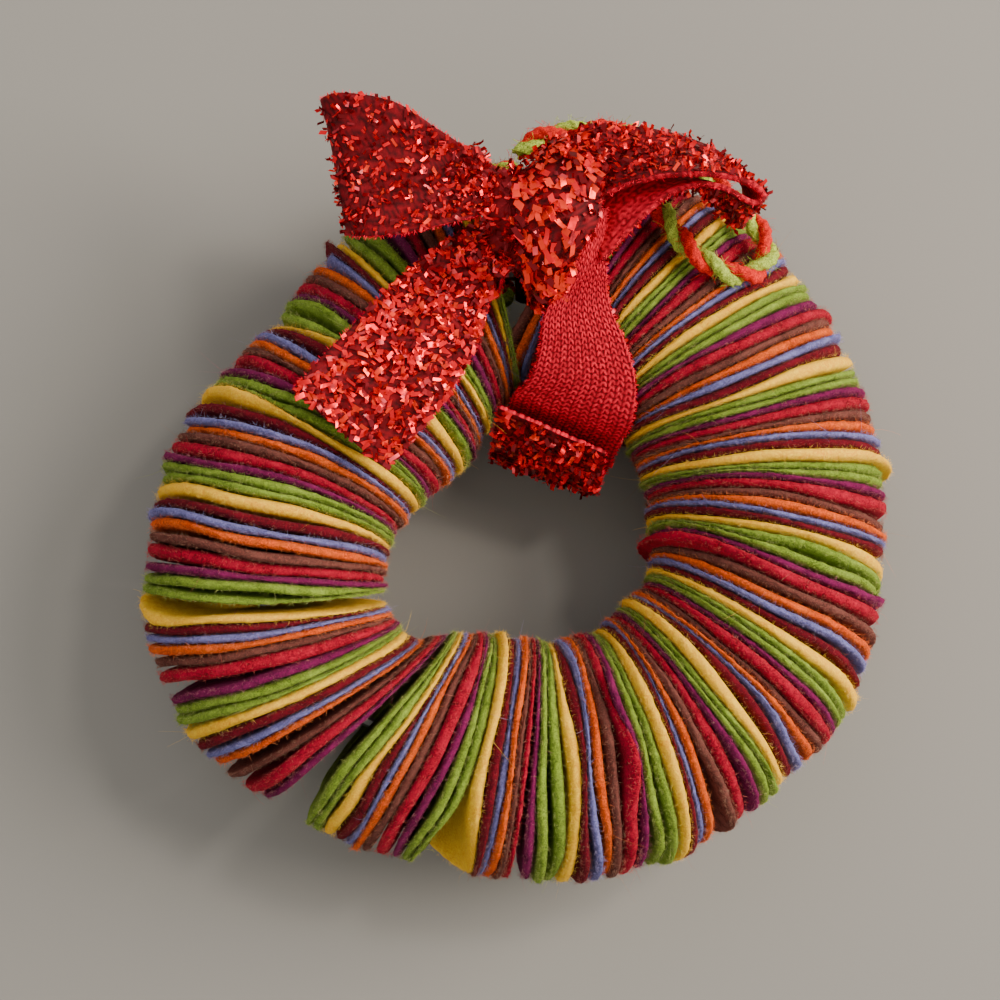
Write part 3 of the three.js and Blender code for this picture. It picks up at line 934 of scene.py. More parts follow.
    def _proud(self, run: int, disc: float, turn: np.ndarray) -> np.ndarray:
        """How far a disc's rim stands out of the row.

        Args:
            run: The row's number.
            disc: The disc's middle along the row.
            turn: The angles on the disc.

        Returns:
            The distance at each angle, in mm.
        """
        proud = np.zeros_like(turn)
        for curl in (curl for curl in self.curls if curl.run == run and curl.proud_mm):
            near = math.exp(-(((disc - curl.disc) / curl.neighbours) ** 2))
            proud += curl.proud_mm * near * lobe(turn, curl.turn, curl.spread)
        return proud

    def _surface(
        self, run: int, number: int, edges: tuple[float, float], chance: np.random.Generator
    ) -> Callable[[np.ndarray, np.ndarray, np.ndarray], np.ndarray]:
        """Settle one disc's own size and unevenness.

        Args:
            run: The row's number.
            number: The disc's number in the row.
            edges: Where its two faces lie along the row, in discs.
            chance: The source of the disc's own numbers.

        Returns:
            A function from the share of the half thickness, the distance in from the rim and the angle to points.
        """
        size = self.disc_radius + chance.uniform(-1, 0.75) * self.radius_spread
        aside = chance.normal(0, self.off_centre / 2, 2).clip(-self.off_centre, self.off_centre)
        waves = [(k, chance.uniform(0, FULL_TURN), chance.uniform(0.3, 1) / k**0.5) for k in (3, 5, 8, 13)]
        lean = chance.uniform(-1, 1)
        for gap in self.openings:
            if gap.run == run and number in (gap.before_disc, gap.before_disc - 1):
                # The discs beside a gap lie back against their other neighbours.
                lean = 1.25 if number == gap.before_disc else -1.25

        def at(across: np.ndarray, inward: np.ndarray, angle: np.ndarray) -> np.ndarray:
            """Place points of this disc.

            Args:
                across: The share of the half thickness.
                inward: The distance in from the rim.
                angle: The angle on the disc.

            Returns:
                The points.
            """
            near, far = (self._line(run, number + k, edges[k], angle) for k in (0, 1))
            ripple = sum(amount * np.sin(k * angle + phase) for k, phase, amount in waves)
            rim = size + self.rim_ripple * ripple + self._proud(run, number + 0.5, angle)
            rim = rim + aside[0] * np.cos(angle) + aside[1] * np.sin(angle)
            radius = np.maximum(rim - inward, self.bore_radius)
            ends = [self.ring.place(run, self._bend(run, q, radius, angle), radius, angle) for q in (near, far)]
            room = np.linalg.norm(ends[1] - ends[0], axis=-1)
            thick = self.felt_thickness * (edges[1] - edges[0])
            fill = np.minimum(self.filled_share, thick / np.maximum(room, 1e-6))
            disc = near + (far - near) * (0.5 + 0.4 * lean * (1 - fill) + 0.5 * across * fill)
            return self.ring.place(run, self._bend(run, disc, radius, angle), radius, angle)

        return at

    def _disc(self, pile: MeshPile, run: int, number: int, edges: tuple[float, float], finish: int, fibre: int) -> None:
        """Add one disc, with the loose fibres that stand out of its rim.

        Args:
            pile: Where it goes.
            run: The row's number.
            number: The disc's number in the row.
            edges: Where its two faces lie along the row, in discs.
            finish: The number of the felt's finish.
            fibre: The number of the loose fibres' finish.
        """
        chance = np.random.default_rng(1000 * run + number)
        half = np.array(self.profile)
        inward = np.concatenate([half[:, 0], half[-2::-1, 0], [self.disc_radius, self.disc_radius]])
        across = np.concatenate([-half[:, 1], half[-2::-1, 1], [1, -1]])
        angle = np.linspace(0, FULL_TURN, self.turns, endpoint=False) + chance.uniform(0, 0.07)
        turn, depth = np.meshgrid(angle, inward, indexing="ij")
        at = self._surface(run, number, edges, chance)
        points = at(np.broadcast_to(across, turn.shape), depth, turn)
        points += chance.normal(0, self.rim_roughness, points.shape) * (depth < self.rough_mm)[..., None]
        points[..., 2] = np.maximum(points[..., 2], 0.0)
        pile.add(points.reshape(-1, 3), grid_faces(self.turns, len(inward), True, True), finish)

        count = self.hairs_per_disc
        turn = np.radians(chance.uniform(*self.hair_arc, count))
        side = chance.choice([-1.0, 1.0], count)
        across = side * chance.uniform(0.0, 1.0, count) ** 0.5
        inward = 0.04 + 0.3 * np.abs(across) ** 4 * chance.random(count)
        root = at(across * 0.97, inward, turn)
        axis = unit(at(np.ones(count), inward, turn) - at(-np.ones(count), inward, turn))
        out = unit(root - at(across * 0.95, inward + 1.4, turn))
        length = self.hair_mm * chance.uniform(0.3, 1.0, count) ** 1.3
        length = np.where(chance.random(count) < self.long_hairs, chance.uniform(*self.long_hair_mm, count), length)
        outward, sideways = chance.uniform(0.2, 1.0, count)[:, None], (side * chance.uniform(0, 1, count))[:, None]
        lean = unit(out * outward + axis * sideways * 0.75 + chance.normal(0, 0.5, (count, 3)))
        curl = unit(chance.normal(0, 1, (count, 3))) * 0.6
        pile.add_hairs(root, lean, curl, length, self.hair_width / 2, 0.7, fibre, self.hair_floor)

    def build(self) -> None:
        """Make every pack, each standing for its own solid."""
        number = 0
        for run, stops in enumerate(self.ring.runs):
            count, disc = int(stops[-1].disc), 0
            while disc < count:
                first = (self.first_colours[run] + disc) % len(FELTS)
                size = 1
                while disc + size < count and (first + size) % len(FELTS) not in (YELLOW, BROWN):
                    size += 1
                colours = [(first + k) % len(FELTS) for k in range(size)]
                pile = MeshPile()
                shares = np.array([FELT_SHARES[colour] for colour in colours])
                edges = disc + size * np.concatenate([[0.0], np.cumsum(shares) / shares.sum()])
                for k in range(size):
                    self._disc(pile, run, disc + k, (float(edges[k]), float(edges[k + 1])), k, size + k)
                number += 1
                felts = [FELTS[colour] for colour in colours]
                slot = Slot.WARM_FELT if first < BROWN else Slot.COOL_FELT
                # The loose fibres take lighter copies of the felts, a painted highlight.
                finishes = [*felts, *(felt.loose() for felt in felts)]
                pack = self.bench.piece(f"felt_pack_{number:02d}", pile, finishes, slot)
                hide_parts(f"felt_discs_{number:02d}")
                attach(pack, Body.WREATH.value)
                disc += size


def stitch_height(across: np.ndarray, along: np.ndarray, wale: float, course: float) -> np.ndarray:
    """The height of a stocking stitch, whose columns of small Vs run along the ribbon.

    Args:
        across: Places across the ribbon, in mm.
        along: Places along the ribbon, in mm.
        wale: The width of a column, in mm.
        course: The height of a stitch, in mm.

    Returns:
        Heights from zero between the stitches to one on them.
    """
    x = np.mod(across, wale)
    y = np.mod(along, course)
    best = np.zeros_like(x)
    for start_x, end_x in ((0.42, 0.12), (0.58, 0.88)):
        for lift in (-1, 0, 1):
            start = np.array([start_x * wale, (lift + 0.08) * course])
            line = np.array([end_x * wale, (lift + 0.95) * course]) - start
            t = np.clip(((x - start[0]) * line[0] + (y - start[1]) * line[1]) / (line @ line), 0.1, 0.9)
            gap = np.hypot(x - start[0] - t * line[0], y - start[1] - t * line[1])
            girth = 0.19 * wale * (0.6 + 0.4 * np.sin(math.pi * t))
            best = np.maximum(best, np.sqrt(np.clip(1 - (gap / girth) ** 2, 0, 1)))
    return best


@dataclass
class Strip:
    """A length of ribbon that follows pairs of edge points, with its face upwards along its own normal."""

    pairs: Sequence[EdgePair]
    step: float = 0.3
    thickness: float = 0.55
    cupped: float = 0.0
    wander: float = 0.15
    seed: int = 1
    stitches: bool = False
    face_up: int = 1
    wale: float = 0.96
    course: float = 0.7
    stitch_mm: float = 0.17
    threads_per_mm: float = 13.0
    thread_mm: tuple[float, float] = (0.2, 0.55)
    # The steps along a frayed thread, each with half its width there.
    thread_steps: tuple[tuple[float, float], ...] = ((0.0, 0.035), (0.55, 0.03), (1.0, 0.012))

    def __post_init__(self) -> None:
        """Lay out the middle surface of the strip on an even grid."""
        a, b = np.array(self.pairs, float).reshape(-1, 2, 3).transpose(1, 0, 2)
        fine = np.linspace(0, len(a) - 1, 60 * len(a))
        run = distance_along(spline((a + b) / 2, fine))
        self.length = float(run[-1])
        self.width = float(np.median(np.linalg.norm(b - a, axis=1)))
        self.rows = max(8, round(self.length / self.step))
        self.columns = max(6, round(self.width / self.step)) + 1
        where = np.interp(np.linspace(0, self.length, self.rows), run, fine)
        self.share = share = np.linspace(0, 1, self.columns)
        flat = spline(a, where)[:, None] * (1 - share)[:, None] + spline(b, where)[:, None] * share[:, None]
        along = np.linspace(0, self.length, self.rows)[:, None]
        fold = self.cupped * 4 * share * (1 - share)
        first, second, third = (SlowNoise(self.seed + k, size) for k, size in ((0, 3.0), (1, 4.0), (2, 1.3)))
        wave = first.at(along + 9 * share) * np.sin(math.pi * share) + second.at(along - 7 * share) * 0.6
        wave = wave + 0.35 * third.at(along + 23 * share)
        self.middle = flat + self._normals(flat) * (fold + self.wander * wave)[..., None]
        self.normal = self._normals(self.middle)

    @staticmethod
    def _normals(points: np.ndarray) -> np.ndarray:
        """Normals of a grid of points, from its rows and columns."""
        return unit(np.cross(np.gradient(points, axis=0), np.gradient(points, axis=1)))

    def lay(self, pile: MeshPile, face: int = GROUND, back: int = BACK) -> None:
        """Add the strip's two faces and its rim to a pile.

        Args:
            pile: Where the strip goes.
            face: The finish's number on the glitter side.
            back: The finish's number on the knitted side and the rim.
        """
        along = np.linspace(0, self.length, self.rows)[:, None] * np.ones(self.columns)
        across = self.share * self.width * np.ones((self.rows, 1))
        bent_across, bent_along = across + 0.1 * np.sin(along * 0.9), along + 0.14 * np.sin(across * 2.1)
        knit = stitch_height(bent_across, bent_along, self.wale, self.course)
        # Each leg of a stitch has its own even chance of height, from the fraction of a large sine.
        legs = 12.9898 * np.floor(2 * across / self.wale) + 78.233 * np.floor(along / self.course)
        knit = knit * (0.5 + 0.5 * np.mod(np.sin(legs) * 43758.5453, 1))
        lift = self.thickness / 2 + (self.stitch_mm * knit if self.stitches else 0)
        top = self.middle + self.normal * np.broadcast_to(lift, knit.shape)[..., None]
        bottom = self.middle - self.normal * self.thickness / 2
        count = self.rows * self.columns
        upper = grid_faces(self.rows, self.columns)
        number = np.arange(count).reshape(self.rows, self.columns)
        ring = np.concatenate([number[0], number[1:, -1], number[-1, -2::-1], number[-2:0:-1, 0]])
        after = np.roll(ring, -1)
        rim = np.stack([after, after + count, ring + count, ring], -1)
        sides = (face, back) if self.face_up > 0 else (back, face)
        finish = np.repeat([*sides, back], [len(upper), len(upper), len(rim)])
        points = np.concatenate([top.reshape(-1, 3), bottom.reshape(-1, 3)])
        # The stitch heights also go out as the crest attribute, which the knit uses to paint shade between stitches,
        # raised or not.
        pile.add(points, np.concatenate([upper[:, ::-1], upper + count, rim]), finish, np.tile(knit.ravel(), 2))

    def fringe(self, pile: MeshPile, chance: np.random.Generator) -> None:
        """Add the short threads that stand out of the strip's two long edges.

        Args:
            pile: Where they go.
            chance: The source of their places.
        """
        count = int(2 * self.length * self.threads_per_mm)
        row, end = chance.integers(0, self.rows, count), chance.choice([0, self.columns - 1], count)
        inner = np.where(end == 0, 1, self.columns - 2)
        outward = unit(self.middle[row, end] - self.middle[row, inner])
        level = chance.uniform(-0.5, 0.5, count)[:, None] * self.thickness
        root = self.middle[row, end] + self.normal[row, end] * level - outward * 0.05
        lean = unit(outward + chance.normal(0, 0.6, (count, 3)))
        flat = unit(np.cross(lean, chance.normal(0, 1, (count, 3))))
        bend = np.cross(lean, flat) * chance.normal(0, 0.12, count)[:, None]
        length = chance.uniform(*self.thread_mm, count)[:, None]
        spines = [root + lean * length * step + bend * step * (1 - step) for step, _ in self.thread_steps]
        pile.add_blades(spines, [flat * half for _, half in self.thread_steps], THREAD, 1.0)

    def sites(self, per_mm2: float, margin: float, chance: np.random.Generator) -> tuple[np.ndarray, ...]:
        """Choose places for flakes on the glitter side.

        Args:
            per_mm2: How many flakes on each square mm.
            margin: The width of bare knit along both edges, in mm.
            chance: The source of the places.

        Returns:
            The places, the normals there and the directions along the strip.
        """
        count = int(per_mm2 * self.length * self.width)
        row = chance.uniform(0, self.rows - 1.001, count)
        low = margin / self.width
        column = np.clip(low + (1 - 2 * low) * chance.random(count), 0, 1) * (self.columns - 1.001)
        i, j = row.astype(int), column.astype(int)
        s, t = (row - i)[:, None], (column - j)[:, None]
        corner = [self.middle[i + a, j + b] for a, b in ((0, 0), (1, 0), (0, 1), (1, 1))]
        at = corner[0] * (1 - s) * (1 - t) + corner[1] * s * (1 - t) + corner[2] * (1 - s) * t + corner[3] * s * t
        normal = self.normal[i, j] * self.face_up
        return at + normal * self.thickness / 2, normal, unit(corner[1] - corner[0])


@dataclass(frozen=True)
class Flakes:
    """How the foil flakes of one piece are cut and thrown."""

    per_mm2: float = 4.8
    long_mm: tuple[float, float] = (0.35, 0.95)
    wide_mm: tuple[float, float] = (0.2, 0.42)
    standing_share: float = 0.5
    margin: float = -0.15
    shares: tuple[float, ...] = (0.42, 0.08, 0.48, 0.02)
    combed: bool = False
    raised_mm: float = 0.06
    raised_spread_mm: float = 0.22
    # How flakes lean out of the ribbon and roll about their length, in degrees: those that stand, then those that lie.
    standing_lean: tuple[float, float] = (35.0, 85.0)
    lying_lean: float = 17.0
    rolls: tuple[float, float] = (30.0, 18.0)

    def cover(self, pile: MeshPile, strip: Strip, chance: np.random.Generator) -> None:
        """Throw flakes on a strip's glitter side."""
        self.scatter(pile, strip.sites(self.per_mm2, self.margin, chance), chance)

    def scatter(self, pile: MeshPile, sites: tuple[np.ndarray, ...], chance: np.random.Generator) -> None:
        """Add flakes at some places.

        Args:
            pile: Where the flakes go.
            sites: The places, normals and directions.
            chance: The source of each flake's size and lie.
        """
        at, normal, along = sites
        count = len(at)
        length, width = chance.uniform(*self.long_mm, count), chance.uniform(*self.wide_mm, count)
        side = unit(np.cross(normal, along))
        spin = (chance.normal(0.5, 0.4, count) if self.combed else chance.uniform(0, FULL_TURN, count))[:, None]
        run = along * np.cos(spin) + side * np.sin(spin)
        across = np.cross(normal, run)
        standing = chance.random(count) < self.standing_share
        upright, lying = chance.uniform(*self.standing_lean, count), chance.normal(0, self.lying_lean, count)
        lean = np.radians(np.where(standing, upright, lying))[:, None]
        roll = np.radians(np.where(standing, *(chance.normal(0, spread, count) for spread in self.rolls)))[:, None]
        raised = run * np.cos(lean) + normal * np.sin(np.abs(lean))
        flat = across * np.cos(roll) + np.cross(raised, across) * np.sin(roll)
        lift = self.raised_mm + self.raised_spread_mm * chance.random(count)
        lift = lift + 0.32 * length * np.sin(np.abs(lean[:, 0]))
        middle = at + normal * lift[:, None]
        bend = np.cross(raised, flat) * (chance.normal(0, 0.09, count) * length)[:, None]
        skew = raised * (chance.normal(0, 0.16, count) * width)[:, None]
        reach, half = raised * length[:, None] / 2, flat * width[:, None] / 2 + skew
        finish = chance.choice(len(FOILS), count, p=self.shares)
        pile.add_blades([middle - reach, middle + bend, middle + reach], [half] * 3, finish)


@dataclass(frozen=True)
class RibbonPart:
    """One loop or tail of the bow. A tail gives two points where it leaves the knot."""

    name: str
    node: str
    strip: Strip
    flakes: Flakes
    seed: int
    held: str
    rests_on: str
    body: Body = Body.WREATH
    bend: tuple[Point, ...] = ()


@dataclass
class GlitterBow:
    """The half inch glitter ribbon: its gathered turn round the wire, the knot, two loops and two tails."""

    bench: Bench
    ribbon_width: float = 12.5
    knot: Point = (3.2, 28.6, 28.15)
    knot_half: Point = (4.7, 5.6, 3.3)
    left_loop: tuple[EdgePair, ...] = (
        (1.4, 29.8, 30.2, 1.2, 33.4, 29.8), (-1.0, 29.8, 30.8, -0.9, 33.6, 30.6),
        (-4.2, 29.0, 31.2, -3.7, 35.2, 31.2), (-8.2, 28.0, 31.5, -7.2, 37.5, 31.2),
        (-12.6, 27.3, 31.1, -11.6, 40.3, 30.9), (-15.4, 27.4, 30.1, -16.8, 41.4, 30.1),
        (-16.3, 28.0, 28.2, -18.9, 41.0, 28.4), (-15.1, 28.0, 26.6, -16.8, 41.0, 26.7),
        (-12.1, 28.2, 26.2, -11.3, 39.6, 26.3), (-8.1, 29.1, 26.7, -7.1, 36.6, 26.7),
        (-4.6, 30.0, 27.3, -3.6, 34.5, 27.3), (-1.2, 30.9, 28.0, -0.8, 33.6, 28.0),
    )
    right_loop: tuple[EdgePair, ...] = (
        (4.6, 30.4, 31.6, 5.4, 37.4, 28.8), (8.4, 31.0, 32.4, 8.4, 38.4, 28.4), (11.6, 32.0, 33.8, 11.4, 38.4, 27.5),
        (15.6, 32.6, 35.4, 15.1, 37.8, 27.2), (19.1, 32.5, 36.3, 19.1, 36.5, 26.9),
        (22.2, 31.7, 36.4, 22.4, 34.2, 26.9), (23.7, 30.5, 36.2, 23.0, 31.4, 26.9),
        (22.6, 29.8, 36.1, 22.5, 28.6, 26.9), (19.3, 31.4, 35.9, 19.4, 31.4, 26.9),
        (16.0, 31.3, 34.4, 16.0, 34.4, 27.6), (13.3, 29.7, 33.1, 12.9, 35.0, 28.0),
        (10.9, 27.4, 31.8, 10.4, 34.2, 28.6), (8.6, 24.9, 30.4, 7.8, 31.8, 28.4),
    )
    left_tail: tuple[EdgePair, ...] = (
        (-0.6, 29.6, 28.1, 1.4, 24.9, 28.6), (-2.6, 29.2, 27.4, -0.8, 23.9, 27.5),
        (-4.7, 28.7, 26.5, -1.4, 22.3, 26.6), (-7.9, 26.5, 26.0, -2.7, 20.7, 26.0),
        (-11.3, 23.7, 26.0, -3.7, 17.2, 26.0), (-15.3, 19.7, 26.0, -6.5, 12.1, 26.0),
        (-18.8, 16.1, 26.0, -9.6, 8.3, 26.0), (-22.1, 12.5, 26.3, -12.8, 4.7, 25.9),
    )
    right_tail: tuple[EdgePair, ...] = (
        (6.4, 30.2, 31.4, 9.0, 30.0, 30.6), (5.8, 27.0, 31.4, 9.1, 26.9, 30.1), (5.0, 24.2, 30.0, 9.0, 24.4, 29.2),
        (3.8, 21.9, 28.0, 9.1, 22.6, 27.9), (2.9, 19.6, 26.4, 9.7, 20.3, 26.6), (2.7, 16.9, 24.3, 11.2, 17.2, 24.9),
        (1.8, 14.2, 21.9, 12.3, 13.6, 22.6), (0.2, 12.4, 18.3, 12.2, 9.9, 20.0), (-0.4, 11.1, 14.7, 11.3, 7.9, 16.4),
        (-1.0, 9.6, 11.4, 10.6, 6.0, 13.0), (-1.5, 8.2, 9.1, 10.0, 4.8, 10.1), (-1.9, 7.0, 8.1, 9.4, 3.5, 8.5),
        (-2.2, 6.2, 9.2, 9.0, 2.4, 9.3), (-2.3, 6.5, 11.2, 9.0, 2.5, 11.1), (-2.2, 7.4, 13.3, 9.2, 3.4, 13.1),
        (-1.9, 9.2, 16.3, 9.4, 4.8, 15.4), (-1.5, 11.2, 19.1, 9.6, 6.5, 17.6),
    )
    # The band that was drawn over the knot and down between the tails.
    band: tuple[EdgePair, ...] = (
        (3.0, 34.8, 27.0, 7.6, 37.2, 27.0), (1.8, 34.0, 29.4, 8.2, 36.4, 29.6), (0.0, 32.2, 31.2, 8.5, 33.0, 31.8),
        (0.4, 29.4, 32.2, 8.2, 29.4, 32.4), (0.3, 27.0, 31.9, 7.0, 27.0, 32.0), (1.0, 24.6, 30.2, 5.6, 24.8, 30.4),
        (1.8, 22.8, 27.8, 4.4, 22.8, 28.0), (2.2, 22.0, 25.8, 3.8, 22.0, 25.8),
    )
    # Small folds beside the knot: each is its middle and its half sizes.
    folds: tuple[tuple[Point, Point], ...] = (
        ((-0.4, 30.6, 29.9), (2.4, 3.4, 2.1)),
        ((-3.9, 34.6, 30.9), (1.1, 1.4, 1.1)),
        ((-0.6, 27.6, 28.9), (1.9, 2.2, 1.7)),
        ((6.6, 33.8, 30.8), (2.6, 2.4, 1.6)),
    )
    lump_turns: int = 56
    lump_rows: int = 30
    lump_flakes_per_mm2: float = 1.6
    # The gathered turn's path round the wire, outward and upward, in disc radii.
    gather: tuple[tuple[float, float], ...] = (
        (0, -0.25), (0.2, -0.13), (0.31, 0.2), (0.33, 0.6), (0.28, 0.86), (0.16, 0.91), (0.04, 0.85), (-0.1, 0.52),
        (-0.23, 0.14), (-0.19, -0.15), (0, -0.25),
    )
    # Each pleat's place along the wire, in mm, and its size beside the path's.
    pleats: tuple[tuple[float, float], ...] = ((-1.0, 1.0), (-0.1, 1.06), (0.75, 0.97))
    pleat_half: float = 0.42

    def _part(self, part: RibbonPart) -> None:
        """Args:
            part: Its strip, its flakes and how it is held.
        """
        chance = np.random.default_rng(part.seed)
        cloth, glitter = MeshPile(), MeshPile()
        part.strip.lay(cloth)
        part.strip.fringe(glitter, chance)
        part.flakes.cover(glitter, part.strip, chance)
        ribbon = self.bench.piece(part.name, cloth, KNITS, Slot.RIBBON)
        shine = self.bench.piece(f"{part.name}_flakes", glitter, GLITTER, Slot.RIBBON)
        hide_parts(part.node)
        for piece in (ribbon, shine):
            if part.bend:
                start, end = map(tuple, self.bench.packed(part.bend))
                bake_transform(piece)
            else:
                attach(piece, part.body.value)

    def _knot(self) -> None:
        """Make the knot: a gathered core and its folds, with the band drawn over them."""
        chance = np.random.default_rng(77)
        cloth, glitter = MeshPile(), MeshPile()
        small = Flakes(3.6, standing_share=0.6, margin=-0.1)
        big = Flakes(2.1, (0.8, 1.55), (0.48, 0.72), 0.08, 0.2, (0.24, 0.56, 0.18, 0.02), combed=True, raised_mm=0.35)
        for middle, half in ((self.knot, self.knot_half), *self.folds):
            small.scatter(glitter, self._lump(cloth, np.array(middle), np.array(half), chance), chance)
        band = Strip(self.band, cupped=0.9, wander=0.3, seed=5, thickness=0.7)
        band.lay(cloth)
        small.cover(glitter, band, chance)
        big.cover(glitter, band, chance)
        band.fringe(glitter, chance)
        knot = self.bench.piece("bow_knot_folds", cloth, KNITS, Slot.RIBBON)
        shine = self.bench.piece("bow_knot_flakes", glitter, GLITTER, Slot.RIBBON)
        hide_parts("bow_knot")
        for piece in (knot, shine):
            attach(piece, Body.WREATH.value)

    def _lump(
        self, cloth: MeshPile, middle: np.ndarray, half: np.ndarray, chance: np.random.Generator
    ) -> tuple[np.ndarray, ...]:
        """Add one creased lump of gathered ribbon.

        Args:
            cloth: Where it goes.
            middle: Its middle.
            half: Its half sizes.
            chance: The source of the flakes' places.

        Returns:
            Places for flakes on it, with the normals and directions there.
        """
        turns, rows = self.lump_turns, self.lump_rows
        around = np.linspace(0, FULL_TURN, turns, endpoint=False)
        rise = np.linspace(-math.pi / 2 + 0.02, math.pi / 2 - 0.02, rows)
        b, a = np.meshgrid(rise, around, indexing="ij")
        folds = 1 + 0.07 * np.cos(5 * a + 1.5 * b) * np.cos(b) + 0.04 * np.cos(11 * a - 2 * b + 1)
        way = np.stack([np.cos(b) * np.cos(a), np.cos(b) * np.sin(a), np.sin(b)], -1)
        shell = middle + way * folds[..., None] * half
        cloth.add_tube(shell, [shell[0].mean(0), shell[-1].mean(0)], GROUND)
        # Nine times the sum of the products of the half sizes is about the area of the sides that flakes can reach.
        count = int(9 * (half[0] * half[1] + half[1] * half[2] + half[0] * half[2]) * self.lump_flakes_per_mm2)
        lean = np.arcsin(chance.uniform(-0.5, 1, count))
        i = np.clip(((lean - rise[0]) / (rise[1] - rise[0])).astype(int), 0, rows - 1)
        j = chance.integers(0, turns, count)
        normal = unit(way[i, j] / half)
        return shell[i, j], normal, unit(np.cross(normal, [0.0, 0.0, 1.0]) + 1e-6)

    def _gather(self, ring: WireRing, radius: float) -> None:
        """Make the ribbon gathered round the wire inside the gap.

        Args:
            ring: The wire.
            radius: A felt disc's radius.
        """
        seat, along, out = ring.in_gap(-0.04, 0.1)
        cloth = MeshPile()
        for pleat, (shift, size) in enumerate(self.pleats):
            pairs = []
            for outward, upward in self.gather:
                middle = seat + (out * outward + np.array([0, 0, upward])) * radius * size
                pairs.append([n for way in (-1, 1) for n in middle + along * (shift + way * self.pleat_half)])
            strip = Strip(pairs, step=0.28, thickness=0.7, cupped=0.3, wander=0.2, seed=60 + pleat)
            strip.lay(cloth, GROUND, GROUND)
        piece = self.bench.piece("ribbon_gather", cloth, KNITS[:1], Slot.RIBBON)
        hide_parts("ribbon_round_wire")
        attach(piece, Body.WREATH.value)

    def build(self, ring: WireRing, radius: float) -> None:
        """Make the whole bow.

        Args:
            ring: The wire that the bow is tied to.
            radius: A felt disc's radius.
        """
        self._knot()
        self._gather(ring, radius)
        left = Strip(self.left_loop, cupped=0.3, seed=21, face_up=-1)
        right = Strip(self.right_loop, cupped=-0.3, seed=31)
        left_tail = Strip(self.left_tail, seed=41, wander=0.14)
        right_tail = Strip(self.right_tail, step=0.128, thickness=0.4, wander=0.08, seed=51, stitches=True, face_up=-1)
        bright = Flakes(5.4, (0.5, 1.2), (0.26, 0.54), 0.22, -0.1, (0.5, 0.12, 0.33, 0.05))
        sparse = Flakes(5.0, (0.5, 1.2), (0.3, 0.55), 0.25, 0.0)
        left_end = (Body.TAIL_LEFT, ((-1.0, 27.0, 27.2), (-3.2, 25.8, 26.8)))
        right_end = (Body.TAIL_RIGHT, ((5.9, 23.6, 28.2), (6.2, 21.4, 27.4)))
        for part in (
            RibbonPart("bow_left_loop", "bow_loop_left", left, Flakes(), 21, "folded", "bow_knot_folds"),
            RibbonPart("bow_right_loop", "bow_loop_right", right, Flakes(), 31, "folded", "bow_knot_folds"),
            RibbonPart("bow_left_tail", "bow_tail_left", left_tail, bright, 43, "laid", "felt_pack_24", *left_end),
            RibbonPart("bow_right_tail", "bow_tail_right", right_tail, sparse, 53, "laid", "felt_pack_17", *right_end),
        ):
            self._part(part)


